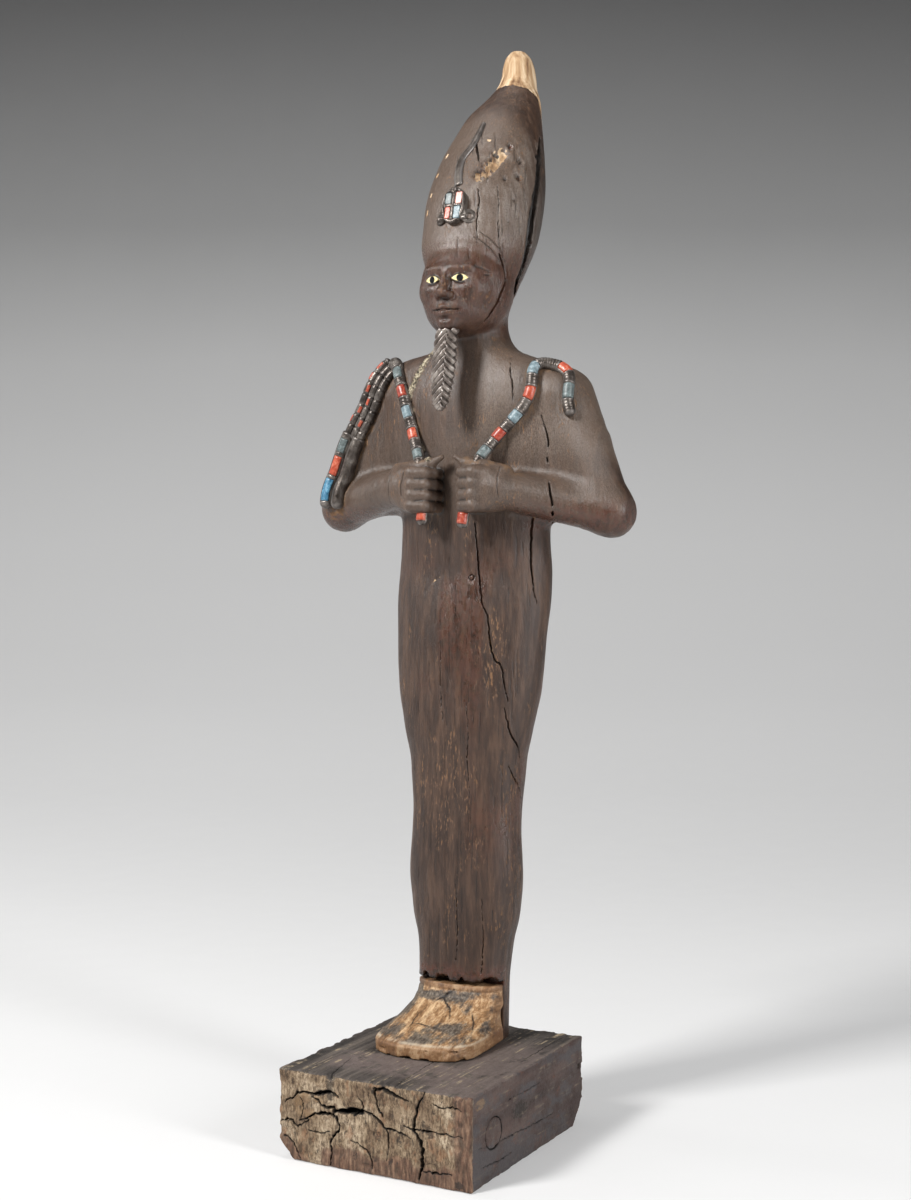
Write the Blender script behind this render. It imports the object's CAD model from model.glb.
import math

import bmesh
import bpy
import numpy as np
from mathutils import Matrix, Vector


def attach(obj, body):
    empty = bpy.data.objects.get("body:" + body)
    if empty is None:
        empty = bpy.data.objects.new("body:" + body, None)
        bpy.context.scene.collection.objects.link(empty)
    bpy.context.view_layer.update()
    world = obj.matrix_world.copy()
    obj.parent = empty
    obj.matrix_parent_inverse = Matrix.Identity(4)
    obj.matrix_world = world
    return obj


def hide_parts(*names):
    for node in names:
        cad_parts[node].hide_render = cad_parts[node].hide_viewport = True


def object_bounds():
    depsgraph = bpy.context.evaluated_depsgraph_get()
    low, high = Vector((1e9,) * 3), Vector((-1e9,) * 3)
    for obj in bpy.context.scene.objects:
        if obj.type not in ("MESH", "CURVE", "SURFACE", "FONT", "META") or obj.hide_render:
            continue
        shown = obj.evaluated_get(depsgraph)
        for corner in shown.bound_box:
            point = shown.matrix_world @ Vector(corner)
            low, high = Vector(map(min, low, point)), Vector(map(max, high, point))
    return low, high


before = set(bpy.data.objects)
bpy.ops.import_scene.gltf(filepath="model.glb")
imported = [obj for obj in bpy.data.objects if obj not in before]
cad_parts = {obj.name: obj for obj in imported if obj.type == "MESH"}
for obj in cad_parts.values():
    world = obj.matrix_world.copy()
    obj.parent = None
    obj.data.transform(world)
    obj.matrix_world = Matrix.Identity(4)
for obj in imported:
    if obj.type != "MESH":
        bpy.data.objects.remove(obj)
cad_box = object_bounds()
MM = 0.001
FIG_X = -4.0
RNG = np.random.default_rng(11)

# ---------------------------------------------------------------- the part's own tables, in mm
# body sections: height, half width, half depth, centre y, roundness exponent
BODY = [
    (50.0, 30.0, 19.0, 45.5, 2.9), (83.0, 30.6, 18.6, 45.5, 2.9), (96.0, 30.8, 18.4, 46.0, 2.9), (109.0, 31.6, 19.0, 47.5, 2.8),
    (122.0, 33.0, 20.0, 48.5, 2.8), (135.0, 36.2, 21.5, 49.2, 2.7), (148.0, 38.0, 22.5, 49.5, 2.6), (162.0, 39.6, 22.5, 48.8, 2.5),
    (175.0, 39.2, 22.3, 48.6, 2.5), (190.0, 38.2, 22.0, 49.0, 2.5), (208.0, 38.2, 22.5, 50.0, 2.4), (228.0, 39.8, 23.2, 51.0, 2.4),
    (242.0, 41.4, 24.0, 51.6, 2.3), (255.0, 44.6, 24.6, 51.6, 2.3), (269.0, 47.8, 25.2, 52.2, 2.2), (282.0, 50.6, 25.6, 53.0, 2.2),
    (295.0, 52.2, 26.0, 54.0, 2.2), (322.0, 54.0, 27.2, 55.8, 2.1), (348.0, 55.6, 28.4, 59.2, 2.1), (362.0, 55.4, 28.6, 61.0, 2.1),
    (389.0, 53.6, 28.6, 61.6, 2.1), (420.0, 57.0, 29.0, 62.0, 2.1), (455.0, 63.0, 29.5, 62.5, 2.2), (480.0, 69.0, 28.0, 62.5, 2.2),
    (492.0, 67.0, 26.0, 62.5, 2.1), (499.0, 59.0, 24.0, 62.5, 2.1), (504.5, 46.0, 22.5, 62.0, 2.0), (509.0, 34.0, 22.0, 61.5, 2.0),
    (515.0, 27.0, 22.0, 61.0, 2.0), (523.0, 23.4, 22.0, 60.5, 2.0), (536.0, 22.4, 22.0, 60.5, 2.0), (556.0, 22.4, 22.0, 60.5, 2.0),
]
# crown and back of the head: the same columns
CROWN = [
    (537.0, 19.0, 19.0, 61.5, 2.0), (545.0, 24.5, 25.0, 62.0, 2.0), (556.0, 29.5, 30.0, 62.5, 2.0), (568.0, 34.5, 35.0, 63.5, 2.0),
    (580.0, 38.2, 38.4, 66.2, 2.0), (593.0, 39.5, 39.5, 70.6, 2.0), (608.0, 39.9, 40.0, 74.8, 2.0), (621.0, 38.9, 39.2, 79.0, 2.0),
    (632.0, 37.0, 37.6, 83.2, 2.0), (644.0, 34.4, 35.2, 88.0, 2.0), (660.0, 29.8, 31.0, 96.0, 2.0), (675.0, 25.0, 26.8, 104.8, 2.0),
    (692.0, 17.4, 19.0, 119.0, 2.0), (700.0, 13.6, 15.0, 123.5, 2.0), (708.0, 11.8, 13.0, 126.5, 2.0), (716.0, 10.6, 11.6, 126.0, 2.0),
    (722.0, 8.2, 9.0, 125.5, 2.0), (726.0, 4.4, 5.0, 125.0, 2.0),
]


# ---------------------------------------------------------------- distance fields, in mm
def smooth_rows(rows, step):
    """Rows at every `step` along the first column, on a cubic Hermite curve through the given rows."""
    t = np.array(rows, float)
    z = t[:, 0]
    slope = np.gradient(t, z, axis=0)
    out = []
    for i in range(len(z) - 1):
        span = z[i + 1] - z[i]
        n = max(1, round(span / step))
        for u in np.arange(n) / n:
            out.append((2 * u**3 - 3 * u**2 + 1) * t[i] + (u**3 - 2 * u**2 + u) * span * slope[i] + (3 * u**2 - 2 * u**3) * t[i + 1] + (u**3 - u**2) * span * slope[i + 1])
    out.append(t[-1])
    return np.array(out)


def smin(a, b, k):
    h = np.clip(0.5 + 0.5 * (b - a) / k, 0, 1)
    return b + (a - b) * h - k * h * (1 - h)


def smax(a, b, k):
    return -smin(-a, -b, k)


def step01(x, a, b):
    t = np.clip((x - a) / (b - a), 0, 1)
    return t * t * (3 - 2 * t)


class Loft:
    """The field of a stack of superellipse sections, with its first coordinate counted from the figure's middle plane."""

    def __init__(self, rows):
        self.t = smooth_rows(rows, 2.0)

    def __call__(self, p):
        x, y, z = p
        t = self.t
        zc = np.clip(z, t[0, 0], t[-1, 0])
        a, b, cy, n = (np.interp(zc, t[:, 0], t[:, i]) for i in (1, 2, 3, 4))
        qx, qy = np.abs(x) / a, np.abs(y - cy) / b
        n = np.maximum(n, 2.0)
        r = (qx**n + qy**n) ** (1 / n)
        # size of the gradient of r, which turns it into a distance
        rr = np.maximum(r, 1e-3)
        gx = (qx / rr) ** (n - 1) / a
        gy = (qy / rr) ** (n - 1) / b
        d = (r - 1) / np.maximum(np.sqrt(gx * gx + gy * gy), 1e-6)
        d = np.maximum(d, -np.minimum(a, b))
        return np.maximum(d, np.maximum(t[0, 0] - z, z - t[-1, 0]))


def capsule(p, a, ra, b, rb, flat=None):
    """A tapered limb with round ends. `flat` squeezes space along a direction: (direction, factor)."""
    a, b = np.array(a, float), np.array(b, float)
    d = b - a
    L2 = d @ d
    q = [p[i] - a[i] for i in range(3)]
    t = np.clip((q[0] * d[0] + q[1] * d[1] + q[2] * d[2]) / L2, 0, 1)
    v = [q[i] - d[i] * t for i in range(3)]
    if flat is not None:
        f, k = np.array(flat[0], float), flat[1]
        f = f / np.linalg.norm(f)
        along = v[0] * f[0] + v[1] * f[1] + v[2] * f[2]
        v = [v[i] + f[i] * along * (k - 1) for i in range(3)]
    return np.sqrt(v[0] ** 2 + v[1] ** 2 + v[2] ** 2) - (ra + (rb - ra) * t)


def ellipsoid(p, c, r):
    q = [(p[i] - c[i]) / r[i] for i in range(3)]
    k0 = np.sqrt(q[0] ** 2 + q[1] ** 2 + q[2] ** 2)
    k1 = np.sqrt((q[0] / r[0]) ** 2 + (q[1] / r[1]) ** 2 + (q[2] / r[2]) ** 2)
    return k0 * (k0 - 1) / np.maximum(k1, 1e-6)


def box_field(p, low, high, round_by=0.0):
    c = [(l + h) / 2 for l, h in zip(low, high)]
    s = [(h - l) / 2 - round_by for l, h in zip(low, high)]
    q = [np.abs(p[i] - c[i]) - s[i] for i in range(3)]
    out = np.sqrt(sum(np.maximum(v, 0) ** 2 for v in q))
    return out + np.minimum(np.maximum(q[0], np.maximum(q[1], q[2])), 0) - round_by


# value noise from a fixed lattice
LATTICE = RNG.random((64, 64, 64)).astype(np.float32)


def noise(x, y, z, seed=0):
    """Smooth value noise in 0..1, one unit to a cell."""
    x, y, z = np.asarray(x) + seed * 17.13, np.asarray(y) + seed * 5.71, np.asarray(z) + seed * 11.39
    xi, yi, zi = np.floor(x), np.floor(y), np.floor(z)
    fx, fy, fz = x - xi, y - yi, z - zi
    fx, fy, fz = (f * f * (3 - 2 * f) for f in (fx, fy, fz))
    xi, yi, zi = (v.astype(np.int64) & 63 for v in (xi, yi, zi))
    xj, yj, zj = (xi + 1) & 63, (yi + 1) & 63, (zi + 1) & 63
    L = LATTICE
    c00 = L[xi, yi, zi] * (1 - fx) + L[xj, yi, zi] * fx
    c10 = L[xi, yj, zi] * (1 - fx) + L[xj, yj, zi] * fx
    c01 = L[xi, yi, zj] * (1 - fx) + L[xj, yi, zj] * fx
    c11 = L[xi, yj, zj] * (1 - fx) + L[xj, yj, zj] * fx
    return (c00 * (1 - fy) + c10 * fy) * (1 - fz) + (c01 * (1 - fy) + c11 * fy) * fz


def fractal(x, y, z, seed=0, octaves=3):
    out, size, total = 0.0, 1.0, 0.0
    for k in range(octaves):
        out = out + noise(x * 2**k, y * 2**k, z * 2**k, seed + 7 * k) * size
        total += size
        size *= 0.5
    return out / total


# ---------------------------------------------------------------- closed surfaces from a field
def steps(*spans):
    """Grid lines: pairs of (start, spacing), the last one being the end."""
    out = []
    for (a, h), (b, _) in zip(spans, spans[1:]):
        n = max(1, round((b - a) / h))
        out += list(a + (b - a) * np.arange(n) / n)
    out.append(spans[-1][0])
    return np.array(out)


def surface_of(field, gx, gy, gz, coarse=4, band=7.0):
    """Vertices and quads of the field's zero surface on a grid of uneven lines."""
    nx, ny, nz = len(gx), len(gy), len(gz)
    cx, cy, cz = (np.unique(np.append(np.arange(0, n, coarse), n - 1)) for n in (nx, ny, nz))
    C = np.meshgrid(gx[cx], gy[cy], gz[cz], indexing="ij")
    low = field(C).astype(np.float32)
    near = np.abs(low) < band * 1.0
    # a coarse cell is worked out in full if any corner is near the surface
    cell = near[:-1, :-1, :-1].copy()
    for i in (0, 1):
        for j in (0, 1):
            for k in (0, 1):
                cell |= near[i : near.shape[0] - 1 + i, j : near.shape[1] - 1 + j, k : near.shape[2] - 1 + k]
    ix, iy, iz = (np.clip(np.searchsorted(c, np.arange(n), side="right") - 1, 0, len(c) - 2) for c, n in ((cx, nx), (cy, ny), (cz, nz)))
    f = low[:-1, :-1, :-1][np.ix_(ix, iy, iz)]
    want = cell[np.ix_(ix, iy, iz)]
    where = np.nonzero(want)
    f[where] = field([gx[where[0]], gy[where[1]], gz[where[2]]])
    f[~want] = np.where(f[~want] > 0, 9.0, -9.0)
    inside = f < 0
    # a vertex in each cell that the surface crosses, at the mean of its crossings
    key_parts, pos_parts, quads = [], [], []
    shape = (nx - 1, ny - 1, nz - 1)
    lines = (gx, gy, gz)
    for axis in range(3):
        sl0 = [slice(None)] * 3
        sl1 = [slice(None)] * 3
        sl0[axis], sl1[axis] = slice(0, -1), slice(1, None)
        hit = np.nonzero(inside[tuple(sl0)] != inside[tuple(sl1)])
        hit = [h.astype(np.int64) for h in hit]
        up = list(hit)
        up[axis] = hit[axis] + 1
        a, b = f[tuple(hit)], f[tuple(up)]
        t = a / (a - b)
        pos = np.stack([lines[k][hit[k]] for k in range(3)], 1).astype(np.float64)
        pos[:, axis] += t * (lines[axis][up[axis]] - lines[axis][hit[axis]])
        u, v = (axis + 1) % 3, (axis + 2) % 3
        ids = []
        for du, dv in ((0, 0), (1, 0), (1, 1), (0, 1)):
            c = list(hit)
            c[u] = hit[u] - du
            c[v] = hit[v] - dv
            ids.append((c[0] * shape[1] + c[1]) * shape[2] + c[2])
            key_parts.append(ids[-1])
            pos_parts.append(pos)
        quad = np.stack(ids, 1)
        flip = a > 0
        quad[flip] = quad[flip][:, ::-1]
        quads.append(quad)
    keys = np.concatenate(key_parts)
    pos = np.concatenate(pos_parts)
    quads = np.concatenate(quads)
    found, index = np.unique(keys, return_inverse=True)
    count = np.bincount(index)
    verts = np.stack([np.bincount(index, pos[:, k]) / count for k in range(3)], 1)
    return verts, np.searchsorted(found, quads)


def gradient(field, p, h=0.25):
    base = field(p)
    g = []
    for k in range(3):
        q = list(p)
        q[k] = p[k] + h
        g.append((field(q) - base) / h)
    g = np.stack(g, -1)
    size = np.linalg.norm(g, axis=-1, keepdims=True)
    return base / np.clip(size[..., 0], 0.6, 4.0), g / np.maximum(size, 1e-6)


def project(field, verts, rounds=1):
    for _ in range(rounds):
        base, n = gradient(field, list(verts.T))
        verts = verts - n * np.clip(base, -1.2, 1.2)[:, None]
    return verts


def make(name, verts, faces, mats, smooth=True):
    mesh = bpy.data.meshes.new(name)
    faces = np.asarray(faces)
    mesh.vertices.add(len(verts))
    mesh.vertices.foreach_set("co", (np.asarray(verts) * MM).astype(np.float32).ravel())
    mesh.loops.add(faces.size)
    mesh.loops.foreach_set("vertex_index", faces.astype(np.int32).ravel())
    mesh.polygons.add(len(faces))
    mesh.polygons.foreach_set("loop_start", np.arange(0, faces.size, faces.shape[1], dtype=np.int32))
    mesh.polygons.foreach_set("loop_total", np.full(len(faces), faces.shape[1], np.int32))
    mesh.update(calc_edges=True)
    mesh.validate()
    for m in mats if isinstance(mats, (list, tuple)) else [mats]:
        mesh.materials.append(m)
    if smooth:
        mesh.shade_smooth()
    obj = bpy.data.objects.new(name, mesh)
    bpy.context.scene.collection.objects.link(obj)
    return obj


def points_of(obj):
    co = np.empty(len(obj.data.vertices) * 3, np.float32)
    obj.data.vertices.foreach_get("co", co)
    return co.reshape(-1, 3).astype(np.float64) / MM


def set_points(obj, co):
    obj.data.vertices.foreach_set("co", (co * MM).astype(np.float32).ravel())
    obj.data.update()


def refine(obj, mask_of, rounds=1):
    """Splits the edges whose two ends are inside a mask."""
    for _ in range(rounds):
        co = points_of(obj)
        mask = mask_of(co)
        bm = bmesh.new()
        bm.from_mesh(obj.data)
        bm.verts.ensure_lookup_table()
        edges = [e for e in bm.edges if mask[e.verts[0].index] and mask[e.verts[1].index]]
        bmesh.ops.subdivide_edges(bm, edges=edges, cuts=1, use_grid_fill=True)
        bm.to_mesh(obj.data)
        bm.free()
        obj.data.update()


def reduce_to(obj, triangles):
    count = sum(len(p.vertices) - 2 for p in obj.data.polygons)
    if count <= triangles:
        return
    mod = obj.modifiers.new("Facets", "DECIMATE")
    mod.ratio = triangles / count
    graph = bpy.context.evaluated_depsgraph_get()
    graph.update()
    mesh = bpy.data.meshes.new_from_object(obj.evaluated_get(graph))
    obj.modifiers.clear()
    old = obj.data
    obj.data = mesh
    bpy.data.meshes.remove(old)
    mesh.name = obj.name
    mesh.shade_smooth()


def paint(obj, name, values):
    """A value at each vertex that the material reads."""
    attr = obj.data.attributes.new(name, "FLOAT", "POINT")
    attr.data.foreach_set("value", np.asarray(values, np.float32))


def lines_distance(co, lines):
    """Distance from points to broken lines, with the width at the nearest place. lines: [(points (n,3), widths (n))]."""
    best = np.full(len(co), 1e9)
    width = np.zeros(len(co))
    for pts, widths in lines:
        pts = np.asarray(pts, float)
        low, high = pts.min(0) - 8, pts.max(0) + 8
        near = np.nonzero(((co > low) & (co < high)).all(1))[0]
        if not len(near):
            continue
        q = co[near]
        for a, b, wa, wb in zip(pts, pts[1:], widths, widths[1:]):
            d = b - a
            t = np.clip(((q - a) @ d) / (d @ d), 0, 1)
            r = np.linalg.norm(q - (a + t[:, None] * d), axis=1)
            closer = r < best[near]
            idx = near[closer]
            best[idx] = r[closer]
            width[idx] = (wa + (wb - wa) * t)[closer]
    return best, width


# ---------------------------------------------------------------- camera, floor and soft studio light
CAM_POS = Vector((0.5507, -0.9837, 0.3702))
CAM_AZ, CAM_EL, CAM_F = math.radians(28.603), math.radians(1.217), 1763.6
CAM_BACK = Vector((math.sin(CAM_AZ) * math.cos(CAM_EL), -math.cos(CAM_AZ) * math.cos(CAM_EL), math.sin(CAM_EL)))
camera = bpy.data.objects.new("camera", bpy.data.cameras.new("camera"))
bpy.context.scene.collection.objects.link(camera)
camera.location = CAM_POS
camera.rotation_mode = "QUATERNION"
camera.rotation_quaternion = (-CAM_BACK).to_track_quat("-Z", "Y")
camera.data.sensor_width = 36.0
camera.data.lens = CAM_F * 36.0 / 1200.0
camera.data.clip_start, camera.data.clip_end = 0.05, 50.0
bpy.context.scene.camera = camera

_fwd = np.array(-CAM_BACK)
_right = np.cross(_fwd, [0, 0, 1.0])
_right /= np.linalg.norm(_right)
_up = np.cross(_right, _fwd)


def rays(spots):
    """Directions through places given in the picture's own pixels (911 x 1200)."""
    s = np.asarray(spots, float)
    d = _fwd + _right * ((s[:, :1] - 455.5) / CAM_F) - _up * ((s[:, 1:2] - 600.0) / CAM_F)
    return d / np.linalg.norm(d, axis=1, keepdims=True)


def pixel_of(co):
    """Where points of the statue, in mm, fall in the picture."""
    d = co - np.array(CAM_POS) / MM
    deep = d @ _fwd
    return np.stack([455.5 + CAM_F * (d @ _right) / deep, 600.0 - CAM_F * (d @ _up) / deep], 1)


def seen(field, spots, start=950.0, reach=500.0):
    """Where the lines of sight through some places meet a surface, in mm. A miss takes the nearest pass."""
    d = rays(spots)
    o = np.array(CAM_POS) / MM
    t = np.full(len(d), start)
    best, best_t = np.full(len(d), 1e9), t.copy()
    for _ in range(90):
        f = field(list((o + d * t[:, None]).T))
        closer = np.abs(f) < best
        best[closer], best_t[closer] = np.abs(f)[closer], t[closer]
        t = np.minimum(t + np.clip(f, -4, 40) * 0.8, start + reach)
    return o + d * best_t[:, None]


def light(name, kind, energy, place, target, size=1.0, size_y=None, colour=(1, 1, 1)):
    data = bpy.data.lights.new(name, kind)
    data.energy = energy
    data.color = colour
    if kind == "AREA":
        data.shape = "RECTANGLE"
        data.size, data.size_y = size, size_y or size
    obj = bpy.data.objects.new(name, data)
    bpy.context.scene.collection.objects.link(obj)
    obj.location = place
    obj.rotation_mode = "QUATERNION"
    obj.rotation_quaternion = (Vector(target) - Vector(place)).to_track_quat("-Z", "Y")
    return obj


light("key", "AREA", 50.0, (-0.72, -1.35, 1.50), (0, 0.05, 0.48), 0.42, 0.60, (1.0, 0.99, 0.975))
light("side", "AREA", 24.0, (1.60, -0.38, 0.78), (0, 0.05, 0.42), 0.35, 1.2)
light("left", "AREA", 4.0, (-1.5, -0.1, 0.8), (0, 0.05, 0.40), 0.3, 1.2)
light("top", "AREA", 7.0, (-0.3, 0.1, 2.2), (0, 0.10, 0.2), 0.8, 0.8)
bpy.context.scene.view_settings.view_transform = "Standard"
world = bpy.data.worlds.new("studio")
bpy.context.scene.world = world
world.use_nodes = True
world.node_tree.nodes["Background"].inputs["Color"].default_value = (0.62, 0.63, 0.65, 1)
world.node_tree.nodes["Background"].inputs["Strength"].default_value = 0.11


# ---------------------------------------------------------------- materials
class Nodes:
    """Short calls for building a material."""

    def __init__(self, name):
        self.mat = bpy.data.materials.new(name)
        self.mat.use_nodes = True
        self.t = self.mat.node_tree
        self.bsdf = self.t.nodes["Principled BSDF"]
        self.coord = self.t.nodes.new("ShaderNodeTexCoord")

    def new(self, kind, **props):
        n = self.t.nodes.new("ShaderNode" + kind)
        for k, v in props.items():
            setattr(n, k, v)
        return n

    def link(self, a, b):
        self.t.links.new(a, b)

    def put(self, socket, value):
        if hasattr(value, "is_output"):
            self.link(value, socket)
        else:
            socket.default_value = value

    def scaled(self, scale):
        m = self.new("Mapping")
        self.link(self.coord.outputs["Object"], m.inputs["Vector"])
        m.inputs["Scale"].default_value = scale
        return m.outputs["Vector"]

    def noise(self, scale, stretch=(1, 1, 1), detail=4.0, rough=0.55, distortion=0.0):
        """Noise with `scale` features to a metre along an unstretched axis."""
        n = self.new("TexNoise")
        self.link(self.scaled(stretch), n.inputs["Vector"])
        n.inputs["Scale"].default_value = scale
        n.inputs["Detail"].default_value = detail
        n.inputs["Roughness"].default_value = rough
        n.inputs["Distortion"].default_value = distortion
        return n.outputs["Fac"]

    def ramp(self, value, stops, mode="LINEAR"):
        n = self.new("ValToRGB")
        n.color_ramp.interpolation = mode
        e = n.color_ramp.elements
        while len(e) > 1:
            e.remove(e[0])
        for i, (pos, col) in enumerate(stops):
            made = e[0] if i == 0 else e.new(pos)
            made.position = pos
            made.color = (*col, 1) if isinstance(col, tuple) else (col, col, col, 1)
        self.link(value, n.inputs["Fac"])
        return n.outputs["Color"]

    def band(self, value, low, high, to_low=0.0, to_high=1.0):
        n = self.new("MapRange")
        n.interpolation_type = "SMOOTHSTEP"
        self.link(value, n.inputs["Value"])
        for name, v in (("From Min", low), ("From Max", high), ("To Min", to_low), ("To Max", to_high)):
            n.inputs[name].default_value = v
        return n.outputs["Result"]

    def math(self, op, a, b=None, clamp=False):
        n = self.new("Math", operation=op)
        n.use_clamp = clamp
        self.put(n.inputs[0], a)
        if b is not None:
            self.put(n.inputs[1], b)
        return n.outputs[0]

    def mix(self, factor, a, b, kind="MIX"):
        n = self.new("Mix", data_type="RGBA")
        n.blend_type = kind
        self.put(n.inputs[0], factor)
        self.put(n.inputs[6], (*a, 1) if isinstance(a, tuple) else a)
        self.put(n.inputs[7], (*b, 1) if isinstance(b, tuple) else b)
        return n.outputs[2]

    def attribute(self, name):
        n = self.new("Attribute")
        n.attribute_name = name
        return n.outputs["Fac"]

    def bump(self, height, strength, distance, normal=None):
        n = self.new("Bump")
        n.inputs["Strength"].default_value = strength
        n.inputs["Distance"].default_value = distance
        self.link(height, n.inputs["Height"])
        if normal is not None:
            self.link(normal, n.inputs["Normal"])
        return n.outputs["Normal"]

    def done(self, colour, roughness, normal=None, metallic=None, specular=None):
        b = self.bsdf.inputs
        self.put(b["Base Color"], (*colour, 1) if isinstance(colour, tuple) else colour)
        self.put(b["Roughness"], roughness)
        if normal is not None:
            self.link(normal, b["Normal"])
        if metallic is not None:
            self.put(b["Metallic"], metallic)
        if specular is not None:
            self.put(b["Specular IOR Level"], specular)
        return self.mat


def figure_wood():
    m = Nodes("worn_dark_wood")
    broad = m.noise(14, detail=3)
    grain = m.noise(210, (1, 1, 0.14), detail=6, rough=0.72)
    fine = m.noise(760, (1, 1, 0.22), detail=4, rough=0.7)
    spots = m.noise(900, detail=3, rough=0.7)
    dapple = m.noise(330, detail=3, rough=0.6)
    colour = m.ramp(grain, [(0.33, (0.006, 0.0027, 0.0016)), (0.48, (0.036, 0.017, 0.0095)), (0.62, (0.100, 0.054, 0.032))])
    tone = m.ramp(broad, [(0.35, (0.030, 0.0145, 0.0085)), (0.62, (0.058, 0.033, 0.022))])
    colour = m.mix(m.math("ADD", m.math("MULTIPLY", m.attribute("haze"), 0.35), 0.45), colour, tone)
    # fine grey speckle on the polished parts
    speckle = m.noise(1500, (1, 1, 0.5), detail=4, rough=0.75)
    colour = m.mix(m.math("MULTIPLY", m.attribute("haze"), m.band(speckle, 0.38, 0.62, 0.20, 0.62)), colour, (0.205, 0.158, 0.124))
    shape = m.new("NewGeometry")
    colour = m.mix(m.band(shape.outputs["Pointiness"], 0.495, 0.455, 0.0, 0.80), colour, (0.012, 0.008, 0.006))
    colour = m.mix(m.band(shape.outputs["Pointiness"], 0.515, 0.575, 0.0, 0.28), colour, (0.120, 0.078, 0.054))
    # tan specks along the grain where the surface is lost
    speck = m.math("MULTIPLY", m.band(fine, 0.55, 0.63), m.band(m.noise(60, (1, 1, 0.35), detail=4), 0.50, 0.64))
    colour = m.mix(m.math("MULTIPLY", speck, 0.72), colour, (0.245, 0.125, 0.055))
    red = m.math("MULTIPLY", m.attribute("red"), m.band(dapple, 0.35, 0.6))
    colour = m.mix(red, colour, (0.088, 0.032, 0.020))
    colour = m.mix(m.math("MULTIPLY", m.attribute("grey"), m.band(spots, 0.35, 0.60)), colour, (0.195, 0.160, 0.135))
    ochre = m.math("MULTIPLY", m.attribute("ochre"), m.band(m.noise(300, detail=4), 0.38, 0.58))
    colour = m.mix(m.math("MULTIPLY", ochre, 0.62), colour, (0.235, 0.125, 0.050))
    bare = m.ramp(m.noise(220, (1, 1, 0.12), detail=5), [(0.32, (0.145, 0.070, 0.030)), (0.48, (0.42, 0.265, 0.140)), (0.64, (0.66, 0.50, 0.33))])
    tan = m.band(m.math("ADD", m.attribute("tan"), m.math("MULTIPLY", m.math("SUBTRACT", m.noise(260, (1, 1, 0.35), detail=5), 0.5), 0.9)), 0.42, 0.60)
    colour = m.mix(tan, colour, bare)
    crust = m.ramp(m.noise(620, detail=4), [(0.40, (0.026, 0.020, 0.014)), (0.50, (0.19, 0.155, 0.100)), (0.60, (0.50, 0.44, 0.32))])
    colour = m.mix(m.attribute("crust"), colour, crust)
    dark = m.attribute("dark")
    colour = m.mix(dark, colour, (0.008, 0.006, 0.005))
    rough = m.ramp(m.noise(260, (1, 1, 0.4), detail=4, rough=0.6), [(0.30, 0.34), (0.50, 0.45), (0.70, 0.56)])
    rough = m.mix(m.attribute("haze"), rough, m.ramp(speckle, [(0.35, 0.26), (0.65, 0.44)]))
    rough = m.math("SUBTRACT", rough, m.math("MULTIPLY", m.attribute("red"), 0.30))
    rough = m.mix(m.math("MAXIMUM", tan, m.math("MAXIMUM", ochre, m.attribute("crust"))), rough, (0.85, 0.85, 0.85))
    height = m.math("ADD", m.math("MULTIPLY", grain, 0.55), m.math("MULTIPLY", fine, 0.45))
    height = m.math("SUBTRACT", height, m.math("MULTIPLY", speck, 0.35))
    normal = m.bump(height, 0.60, 0.0014)
    normal = m.bump(speckle, 0.30, 0.0007, normal)
    return m.done(colour, rough, normal, specular=0.5)


def pale_wood():
    m = Nodes("pale_foot_wood")
    grain = m.noise(170, (1, 0.14, 0.5), detail=5, rough=0.65)
    fine = m.noise(760, (1, 0.35, 0.7), detail=4, rough=0.7)
    wood = m.ramp(m.math("ADD", m.math("MULTIPLY", grain, 0.6), m.math("MULTIPLY", fine, 0.4)), [(0.36, (0.080, 0.038, 0.016)), (0.48, (0.300, 0.165, 0.075)), (0.60, (0.620, 0.430, 0.250))])
    film = m.ramp(fine, [(0.34, (0.022, 0.018, 0.015)), (0.50, (0.078, 0.066, 0.055)), (0.66, (0.185, 0.158, 0.130))])
    edge = m.math("MULTIPLY", m.math("SUBTRACT", m.noise(85, (1, 0.42, 0.8), detail=7, rough=0.72), 0.46), 3.4)
    cover = m.band(m.math("ADD", m.attribute("dark"), edge), 0.24, 0.78, 0.0, 0.92)
    colour = m.mix(cover, wood, film)
    colour = m.mix(m.math("MULTIPLY", m.attribute("lip"), m.band(fine, 0.30, 0.60, 0.45, 0.9)), colour, (0.165, 0.080, 0.040))
    crumbs = m.math("MULTIPLY", m.band(m.noise(420, detail=4, rough=0.7), 0.55, 0.66), m.band(m.attribute("dark"), 0.1, 0.6, 0.25, 0.75))
    colour = m.mix(crumbs, colour, (0.026, 0.020, 0.016))
    colour = m.mix(m.attribute("crack"), colour, (0.012, 0.008, 0.006))
    colour = m.mix(m.math("MULTIPLY", m.attribute("pale"), m.band(grain, 0.35, 0.6)), colour, (0.50, 0.42, 0.32))
    rough = m.ramp(fine, [(0.3, 0.42), (0.7, 0.72)])
    normal = m.bump(m.math("ADD", m.math("MULTIPLY", grain, 0.6), m.math("MULTIPLY", fine, 0.4)), 0.6, 0.0012)
    return m.done(colour, rough, normal, specular=0.4)


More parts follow.
